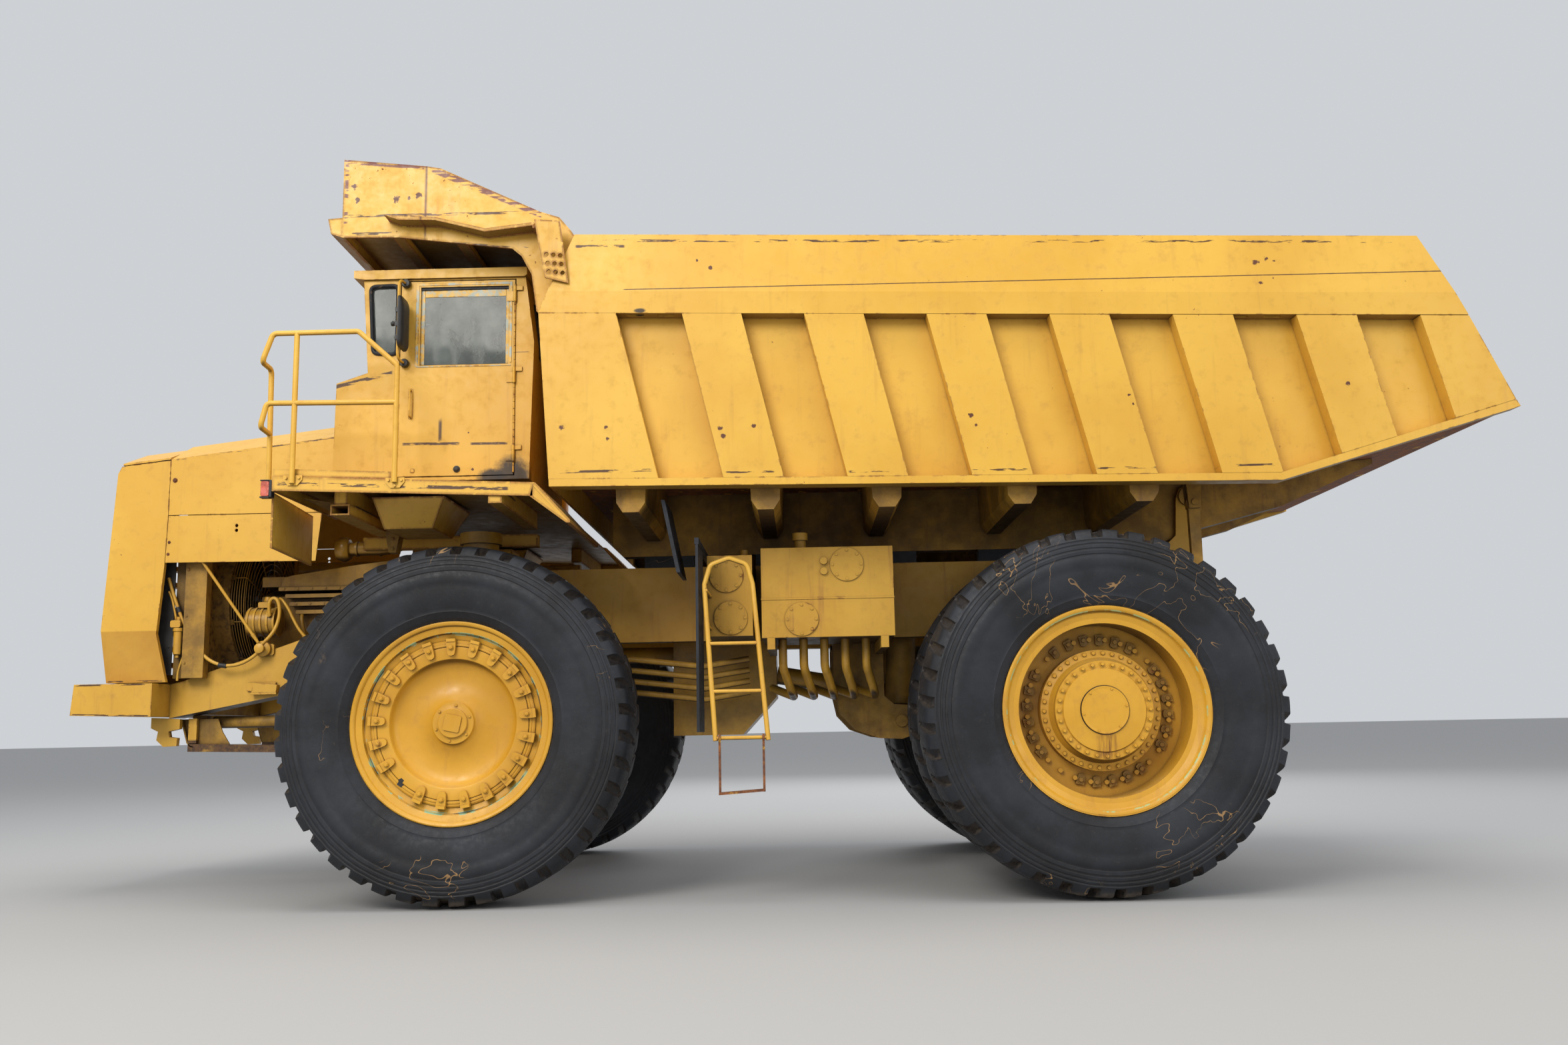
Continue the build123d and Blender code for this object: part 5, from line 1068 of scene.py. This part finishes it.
def make_mirror():
    """Rounded mirror head with a swelling back, its arm clamps and the clamp knob."""
    x = -2.720
    head = Build()
    outline = rounded([(-0.110, 4.150), (0.110, 4.150), (0.110, 4.560), (-0.110, 4.560)], 0.055, 6)
    layers = [(0.0, 1.0), (0.012, 1.0), (0.022, 0.97), (0.032, 0.88), (0.038, 0.70), (0.040, 0.40)]
    count = len(outline)
    corners, faces = [], []
    for depth, scale in layers:
        corners += [(x + 0.024 + depth, CAB_Y - 0.140 + a * scale, 4.355 + (b - 4.355) * scale) for a,
                    b in outline]
    for row in range(len(layers) - 1):
        for i in range(count):
            j = (i + 1) % count
            faces.append((row * count + i, row * count + j, (row + 1) * count + j, (row + 1) * count + i))
    faces.append(tuple(range(count)))
    faces.append(tuple(range((len(layers) - 1) * count, len(layers) * count)))
    head._add(corners, faces)
    for z in (4.245, 4.465):
        head.slab(x - 0.022, x + 0.030, CAB_Y - 0.158, CAB_Y - 0.122, z - 0.018, z + 0.018, 0.006)
    head.lathe([(0.0001, 0), (0.016, 0), (0.018, 0.004), (0.018, 0.026), (0.012, 0.032), (0.0001, 0.033)],
               (x - 0.022, CAB_Y - 0.14, 4.355), (-1, 0, 0), 20)
    head.slab(x - 0.024, x + 0.026, CAB_Y - 0.155, CAB_Y - 0.125, 4.335, 4.375, 0.006)
    head.piece("mirror_head", black_plastic, "door_mirror", replaced=["door_mirror"], slot="black_plastic",
               bevel=0.0015)




def puff(piece, cap, steps=18, pressure=4.0):
    """Blows a seat pad up with a short cloth run, keeps each point near its start, and smooths it."""
    scene = bpy.context.scene
    remesh = piece.modifiers.new("remesh", "REMESH")
    remesh.mode = "VOXEL"
    remesh.voxel_size = 0.012
    start = evaluated(piece)
    piece.modifiers.clear()
    old = piece.data
    piece.data = start
    bpy.data.meshes.remove(old)
    rest = [v.co.copy() for v in piece.data.vertices]
    cloth = piece.modifiers.new("cloth", "CLOTH")
    cloth.settings.use_pressure = True
    cloth.settings.uniform_pressure_force = pressure
    cloth.settings.effector_weights.gravity = 0
    cloth.point_cache.frame_end = steps
    for frame_number in range(1, steps + 1):
        scene.frame_set(frame_number)
    blown = evaluated(piece)
    piece.modifiers.clear()
    for vertex, place, blown_vertex in zip(piece.data.vertices, rest, blown.vertices):
        move = blown_vertex.co - place
        vertex.co = place + move * min(1.0, cap / max(move.length, 1e-9))
    bpy.data.meshes.remove(blown)
    scene.frame_set(1)
    soften(piece.data, 2)


def evaluated(piece):
    """A copy of the piece's mesh with its modifiers applied."""
    graph = bpy.context.evaluated_depsgraph_get()
    graph.update()
    return bpy.data.meshes.new_from_object(piece.evaluated_get(graph))


def soften(mesh, rounds):
    """Averages each point with its neighbours."""
    grid = bmesh.new()
    grid.from_mesh(mesh)
    for _ in range(rounds):
        bmesh.ops.smooth_vert(grid, verts=grid.verts, factor=0.5, use_axis_x=True, use_axis_y=True,
                              use_axis_z=True)
    grid.to_mesh(mesh)
    grid.free()


def channel(mesh, along, places, half, depth, push):
    """Presses sewn channels into a pad where it faces push."""
    push = Vector(push).normalized()
    for vertex in mesh.vertices:
        facing = smooth(vertex.normal.dot(push), 0.3, 0.8)
        for place in places:
            near = 1 - smooth(abs(vertex.co[along] - place), 0.0, half)
            vertex.co -= push * depth * near * facing


def make_seat():
    """Two vinyl pads, the seat cushion and the seat back."""
    seat = Build()
    outline = rounded([(-2.515, 3.585), (-2.035, 3.580), (-2.035, 3.665), (-2.515, 3.668)], 0.035)
    seat.prism(outline, -1.640, -1.160)
    cushion = seat.piece("seat_cushion", seat_vinyl, "chassis", 80, replaced=["driver_seat"],
                         slot="seat_vinyl")
    puff(cushion, 0.013)
    channel(cushion.data, 1, (-1.50, -1.30), 0.022, 0.010, (0, 0, 1))
    channel(cushion.data, 0, (-2.40, -2.25, -2.10), 0.020, 0.006, (0, 0, 1))
    rest = Build()
    outline = rounded([(-2.040, 3.705), (-1.950, 3.705), (-1.878, 4.235), (-1.948, 4.238)], 0.030)
    rest.prism(outline, -1.635, -1.165)
    back = rest.piece("seat_back", seat_vinyl, "chassis", 80, replaced=["driver_seat"], slot="seat_vinyl")
    puff(back, 0.013)
    channel(back.data, 1, (-1.51, -1.29), 0.022, 0.010, (-1, 0, 0.15))
    channel(back.data, 2, (3.85, 4.00, 4.14), 0.018, 0.006, (-1, 0, 0.15))
    for pad in (cushion, back):
        pad.data.shade_smooth()
        finer = pad.modifiers.new("finer", "SUBSURF")
        finer.levels = finer.render_levels = 1


sash_paint = paint("sash_paint", wear=0.6, grime=0.5, chips=0.6, deep=0.0)
sash = Shader.of(sash_paint)
sash.set(Base_Color=sash.blend(sash.span(sash.noise(12, 6, 0.7), 0.40, 0.56), (0.42, 0.46, 0.40),
                               sash.base_source()))
make_door_glass()
make_seals()
make_door_trim()
make_mirror()
make_seat()
# ---------------------------------------------------------------- engine bay, front frame and deck edge
FAN_Z = 2.42


def ring_x(x, radius, centre_z=FAN_Z, steps=72):
    """A closed circle about an axis along X."""
    return [(x, radius * math.cos(2 * math.pi * i / steps),
             centre_z + radius * math.sin(2 * math.pi * i / steps))
            for i in range(steps)]


def fan_guard():
    """Wire cage behind the fan: rings, spokes and clips."""
    wires = Build()
    for step in range(6):
        wires.tube(ring_x(-4.598 + 0.022 * step, 0.612), 0.0045, closed=True, sides=6)
    for step in range(9):
        wires.tube(ring_x(-4.484, 0.585 - 0.052 * step), 0.004, closed=True, sides=6)
    for step in range(10):
        angle = math.radians(18 + 36 * step)
        side, up = math.cos(angle), math.sin(angle)
        wires.tube([(x, r * side, FAN_Z + r * up) for x,
                    r in ((-4.60, 0.618), (-4.488, 0.618), (-4.480, 0.605),
                                                              (-4.480, 0.15))], 0.006, sides=8)
    wires.piece("fan_guard_wires", oily_shaded_paint, "chassis")
    clips = Build()
    for step in range(10):
        angle = math.radians(18 + 36 * step)
        turn = Matrix.Translation((0, 0, FAN_Z)) @ Matrix.Rotation(angle, 4, "X")
        clips.slab(-4.632, -4.575, 0.616, 0.628, -0.022, 0.022, 0.004, turn)
        clips.bolt((-4.59, 0.628 * math.cos(angle), FAN_Z + 0.628 * math.sin(angle)),
                   (0, math.cos(angle), math.sin(angle)), 0.008, 0.007)
    clips.piece("fan_guard_clips", dirty_shaded_paint, "chassis", bevel=0.001)


def radiator_columns():
    """Folded side columns of the radiator with their fixing bolts."""
    columns = Build()
    for sign in (-1, 1):
        outer, inner = sign * 1.000, sign * 0.905
        columns.slab(-4.822, -4.642, min(outer, outer - sign * 0.010), max(outer, outer - sign * 0.010),
                     1.735, 3.07)
        for x in (-4.822, -4.652):
            columns.slab(x, x + 0.010, min(outer - sign * 0.010, inner), max(outer - sign * 0.010, inner),
                         1.735, 3.07,
                         0.002)
        columns.slab(-4.925, -4.835, min(sign * 0.930, sign * 0.915), max(sign * 0.930, sign * 0.915), 1.735,
                     3.10)
        for z in (1.86, 2.25, 2.64, 3.02):
            columns.bolt((-4.80, sign * 1.0, z), (0, sign, 0), 0.009, 0.008)
    columns.piece("radiator_columns", dirty_shaded_paint, "chassis", bevel=0.0015)


def bay_pipes():
    """Rigid pipes bent round the open engine bay, with their clamps."""
    pipes = Build()
    runs = [([(-4.975, -0.98, 2.575), (-4.933, -0.98, 2.45), (-4.869, -0.98, 2.284), (-4.799, -0.98, 2.129),
              (-4.71, -0.98, 1.985), (-4.613, -0.98, 1.881), (-4.488, -0.98, 1.828), (-4.355, -0.98, 1.835),
              (-4.255, -0.98, 1.884), (-4.186, -0.97, 1.948)], 0.0145),
            ([(-4.158, -0.86, 2.25), (-4.162, -0.88, 2.34), (-4.150, -0.88, 2.384), (-4.116, -0.88, 2.402),
              (-4.078, -0.88, 2.37), (-4.063, -0.88, 2.255), (-4.089, -0.90, 2.132), (-4.138, -0.93, 2.051),
              (-4.183, -0.96, 1.995)], 0.015),
            ([(-4.10, -0.80, 2.40), (-4.059, -0.85, 2.382), (-4.004, -0.85, 2.308), (-3.959, -0.85, 2.214),
              (-3.904, -0.85, 2.12), (-3.84, -0.84, 2.05)], 0.012),
            ([(-4.09, -0.78, 2.385), (-4.049, -0.80, 2.350), (-3.990, -0.80, 2.259), (-3.935, -0.80, 2.154),
              (-3.88, -0.80, 2.06)], 0.010),
            ([(-4.965, -0.98, 2.461), (-4.936, -0.98, 2.399), (-4.911, -0.98, 2.306), (-4.890, -0.98, 2.21)],
             0.010),
            ([(-4.797, -0.97, 2.10), (-4.796, -0.98, 1.987), (-4.828, -0.98, 1.886), (-4.858, -0.98, 1.795),
              (-4.861, -0.98, 1.715)], 0.010)]
    for points, radius in runs:
        pipes.tube(curved(points, 5), radius, sides=14)
    pipes.tube([(-4.655, -1.062, 2.692), (-4.216, -0.985, 2.045)], 0.0125, sides=14)
    pipes.tube([(-4.245, -0.990, 2.088), (-4.196, -0.982, 2.016)], [0.017, 0.011], sides=14)
    pipes.piece("engine_bay_pipes", frame_paint, "chassis")
    clamps = Build()
    for a, b in (((-4.735, 2.022), (-4.690, 1.960)), ((-4.520, 1.838), (-4.455, 1.828)),
                 ((-4.885, 2.325), (-4.870, 2.285))):
        clamps.tube([(a[0], -0.98, a[1]), (b[0], -0.98, b[1])], 0.020, sides=14)
    clamps.piece("engine_bay_pipe_clamps", black_plastic, "chassis")


def pipe_swivel():
    """Stacked joint on the frame horn where the bay's pipes meet."""
    joint = Build()
    centre = (-4.178, -0.905, 1.968)
    joint.lathe([(0.0001, 0), (0.060, 0), (0.066, 0.012), (0.066, 0.034), (0.052, 0.044), (0.030, 0.048),
                 (0.030, 0.085), (0.040, 0.090), (0.040, 0.108), (0.024, 0.116), (0.0001, 0.116)], centre,
                 (0, -1, 0), 40)
    joint.slab(-4.225, -4.095, -0.905, -0.880, 1.915, 2.010, 0.012)
    for x, z in ((-4.218, 1.998), (-4.136, 1.998), (-4.218, 1.932), (-4.136, 1.932)):
        joint.bolt((x, -0.905, z), (0, -1, 0), 0.009, 0.008)
    joint.piece("pipe_swivel", frame_paint, "chassis", bevel=0.0012)


def filter_canister():
    """Small filter behind the guard: head, glass-smooth bowl and drain."""
    made = Build()
    made.slab(-4.925, -4.840, -1.02, -0.94, 2.155, 2.215, 0.010)
    made.lathe([(0.0001, 0), (0.016, 0), (0.016, 0.02), (0.033, 0.028), (0.036, 0.06), (0.036, 0.215),
                (0.042, 0.220),
                (0.042, 0.245), (0.030, 0.252), (0.0001, 0.252)], (-4.872, -0.98, 1.905), (0, 0, 1), 32)
    made.lathe([(0.0001, 0), (0.020, 0), (0.020, 0.03), (0.0001, 0.03)], (-4.872, -0.98, 2.215), (0, 0, 1),
               20)
    made.piece("bay_filter", frame_paint, "chassis", bevel=0.0015)


def generator_details():
    """Bands, end cover fins and a terminal block round the generator."""
    made = Build()
    for x in (-4.372, -4.318, -4.262, -4.206, -4.150):
        made.lathe([(0.118, 0), (0.128, 0.002), (0.128, 0.020), (0.118, 0.022)], (x, -0.720, 2.210),
                   (1, 0, 0), 48)
    for step in range(9):
        angle = math.radians(40 * step)
        side, up = math.cos(angle) * 0.070, math.sin(angle) * 0.070
        made.lathe([(0.0001, 0), (0.013, 0), (0.013, 0.010), (0.0001, 0.010)],
                   (-4.381, -0.720 + side, 2.210 + up), (-1, 0, 0), 14)
    made.slab(-4.290, -4.190, -0.79, -0.68, 2.325, 2.375, 0.008)
    made.lathe([(0.0001, 0), (0.030, 0), (0.034, 0.02), (0.026, 0.05), (0.0001, 0.05)],
               (-4.225, -0.735, 2.372), (0, 0, 1), 24)
    made.lathe([(0.0001, 0), (0.020, 0), (0.020, 0.05), (0.0001, 0.05)], (-4.170, -0.80, 2.26), (0, -1, 0),
               20)
    made.piece("generator_details", frame_paint, "chassis", bevel=0.001)


def engine_covers():
    """Intake cover with its bolted rim, and the ribbed covers down the engine's side."""
    made = Build()
    for sign in (-1, 1):
        near, far = sorted((sign * 0.66, sign * 0.36))
        made.prism([(-4.15, 2.515), (-4.13, 2.590), (-4.06, 2.612), (-3.52, 2.690), (-2.90, 2.760),
                    (-2.84, 2.735),
                    (-2.84, 2.515)], near, far)
        rim_near, rim_far = sorted((sign * 0.675, sign * 0.35))
        made.slab(-4.165, -2.825, rim_near, rim_far, 2.480, 2.512, 0.006)
        for level, (z, front) in enumerate(((2.435, -4.11), (2.368, -4.08), (2.300, -4.03))):
            low, high = sorted((sign * (0.665 - 0.02 * level), sign * 0.55))
            made.slab(front, -2.95, low, high, z - 0.016, z + 0.016, 0.005)
        for step in range(11):
            made.bolt((-4.12 + 0.12 * step, sign * 0.675, 2.496), (0, sign, 0), 0.010, 0.009)
            made.bolt((-4.02 + 0.12 * step, sign * 0.645, 2.368), (0, sign, 0), 0.009, 0.008)
        for step in range(5):
            made.tube(curved([(-3.98 + 0.24 * step, sign * 0.50, 2.30),
                              (-3.98 + 0.24 * step, sign * 0.63, 2.28),
                              (-3.96 + 0.24 * step, sign * 0.64, 2.16),
                              (-3.94 + 0.24 * step, sign * 0.58, 2.08)], 4),
                      0.017, sides=12)
    made.piece("engine_side_covers", oily_shaded_paint, "chassis", bevel=0.003)
    air = Build()
    air.tube(curved([(-3.56, -0.66, 2.83), (-3.40, -0.68, 2.83), (-3.22, -0.72, 2.82), (-3.05, -0.60, 2.90)],
                    6), 0.058, sides=24)
    air.lathe([(0.040, 0), (0.085, 0.010), (0.105, 0.050), (0.105, 0.090), (0.085, 0.120), (0.055, 0.130)],
              (-3.68, -0.66, 2.83), (1, 0, 0), 40, closed=True)
    for x in (-3.50, -3.30):
        air.lathe([(0.056, 0), (0.066, 0), (0.066, 0.018), (0.056, 0.018)], (x, -0.675, 2.83), (1, 0, 0), 32)
    air.piece("charge_air_pipe", oily_shaded_paint, "chassis")


def front_frame_details():
    """Step pad on each frame horn, hanger plates for the lower bar, and the tie-down slots' lips."""
    pads = Build()
    for sign in (-1, 1):
        low, high = sorted((sign * 0.880, sign * 0.935))
        pads.prism([(-4.262, 1.592), (-4.052, 1.600), (-4.045, 1.668), (-4.245, 1.685)], low, high)
        lip_low, lip_high = sorted((sign * 0.935, sign * 0.945))
        pads.slab(-4.268, -4.045, lip_low, lip_high, 1.588, 1.602, 0.003)
    pads.piece("horn_pads", frame_paint, "chassis", bevel=0.004)
    plates = Build()
    for sign in (-1, 1):
        low, high = sorted((sign * 0.742, sign * 0.756))
        plates.prism([(-4.895, 1.400), (-4.600, 1.400), (-4.560, 1.290), (-4.490, 1.178), (-4.800, 1.168),
                      (-4.838, 1.205)],
                     low, high)
        edge_low, edge_high = sorted((sign * 0.742, sign * 0.800))
        plates.prism([(-4.901, 1.400), (-4.889, 1.400), (-4.832, 1.210), (-4.806, 1.180), (-4.780, 1.174),
                      (-4.780, 1.162),
                      (-4.812, 1.168), (-4.842, 1.202)], edge_low, edge_high)
    plates.piece("lower_bar_hangers", dirty_shaded_paint, "chassis", bevel=0.002)


def deck_edge_details():
    """Hood and guard bolts, and small brackets under the decks."""
    bolts = Build()
    for sign in (-1, 1):
        bolts.bolt((-4.905, sign * 1.1, 3.385), (0, sign, 0), 0.014, 0.012)
        for x, z in ((-4.93, 2.86), (-4.935, 2.76), (-3.78, 3.02), (-3.80, 2.74)):
            bolts.bolt((x, sign * 1.0975, z), (0, sign, 0), 0.009, 0.006)
    bolts.piece("hood_bolts", rust_steel, "chassis")
    brackets = Build()
    for sign in (-1, 1):
        low, high = sorted((sign * 1.42, sign * 1.30))
        brackets.prism([(-3.02, 2.862), (-2.90, 2.862), (-2.93, 2.690), (-2.99, 2.690)], low, high)
        low, high = sorted((sign * 2.10, sign * 1.50))
        brackets.prism([(-3.44, 3.02), (-3.40, 3.02), (-3.02, 2.952), (-3.05, 2.948)], low, high)
        for z in (2.72, 2.80):
            brackets.bolt((-2.958, sign * 1.42, z), (0, sign, 0), 0.011, 0.009)
    brackets.piece("under_deck_brackets", dirty_shaded_paint, "chassis", bevel=0.002)


def guard_shade_baffles():
    """Side baffles between the radiator and the guard's front posts, in near-black as painted shade for the
    dark inside of the guard.
    """
    made = Build()
    for sign in (-1, 1):
        low, high = sorted((sign * 0.952, sign * 0.944))
        made.prism([(-5.285, 1.83), (-4.930, 1.76), (-4.930, 3.42), (-5.275, 3.42)], low, high)
        for z in (2.0, 2.5, 3.0):
            made.bolt((-4.96, sign * 0.952, z), (0, sign, 0), 0.009, 0.008)
    made.piece("guard_shade_baffles", dark_paint, "chassis", bevel=0.001)


def marker_lamps():
    """Upright red corner lamps with black backs."""
    lenses, backs = Build(), Build()
    for sign in (-1, 1):
        low, high = sorted((sign * 2.445, sign * 2.395))
        lenses.slab(-3.625, -3.562, low, high, 2.985, 3.098, 0.008)
        low, high = sorted((sign * 2.449, sign * 2.391))
        backs.slab(-3.562, -3.542, low, high, 2.977, 3.106, 0.006)
        backs.slab(-3.630, -3.560, low, high, 2.972, 2.984, 0.003)
        backs.slab(-3.630, -3.560, low, high, 3.099, 3.108, 0.003)
    lenses.piece("marker_lamp_lenses", red_lens, "chassis", replaced=["marker_lamps"], bevel=0.003)
    backs.piece("marker_lamp_backs", black_plastic, "chassis", replaced=["marker_lamps"], bevel=0.0015)


def rusty_bar():
    """The low bar behind the bumper has lost most of its paint."""
    s = Shader.of(bumper_paint)
    low = s.span(s.axis(s.place, "Z"), 1.215, 1.235, 1, 0)
    back = s.span(s.axis(s.place, "X"), -4.86, -4.84)
    ragged = s.noise(6, 5, 0.65)
    rust = s.blend(s.span(s.noise(30, 4), 0.4, 0.65), (0.13, 0.060, 0.018), (0.060, 0.028, 0.014))
    mask = s.math("MULTIPLY", s.math("MULTIPLY", low, back), s.span(ragged, 0.30, 0.48, 0.55, 1))
    s.set(Base_Color=s.blend(mask, s.base_source(), rust))


def guard_low_shade():
    """Painted shade on the guard's lower part below its crease, standing in for that part sloping inwards
    away from the light: a patchy, darker and deeper tone.
    """
    s = Shader.of(body_paint)
    low = s.span(s.axis(s.place, "Z"), 2.118, 2.130, 1, 0)
    ahead = s.span(s.axis(s.place, "X"), -4.92, -4.88, 1, 0)
    patchy = s.span(s.noise(3.5, 5, 0.6), 0.25, 0.70, 0.65, 0.95)
    # film is this painted shade, kept below the crease and at the front of the guard
    film = s.math("MULTIPLY", s.math("MULTIPLY", low, ahead), patchy)
    s.set(Base_Color=s.blend(s.math("MULTIPLY", film, 0.75), s.base_source(), (0.40, 0.175, 0.010)))


guard_low_shade()
add_marks(bumper_paint, beyond=-1.19,
          lines=[(-5.59, -4.97, 1.682, 0, 0.007, 0.5, SCRAPE),
                 (-5.60, -4.98, 1.447, -0.03, 0.006, 0.45, SCRAPE)])
add_marks(body_paint, beyond=-1.05,
          lines=[(-5.34, -4.97, 3.522, 0.10, 0.006, 0.7, SCRAPE),
                 (-4.90, -3.30, 3.562, 0.119, 0.006, 0.75, SCRAPE),
                 (-5.38, -4.93, 1.712, 0, 0.006, 0.6, SCRAPE)])
rusty_bar()
guard_shade_baffles()
marker_lamps()
fan_guard()
radiator_columns()
bay_pipes()
pipe_swivel()
filter_canister()
generator_details()
engine_covers()
front_frame_details()
deck_edge_details()
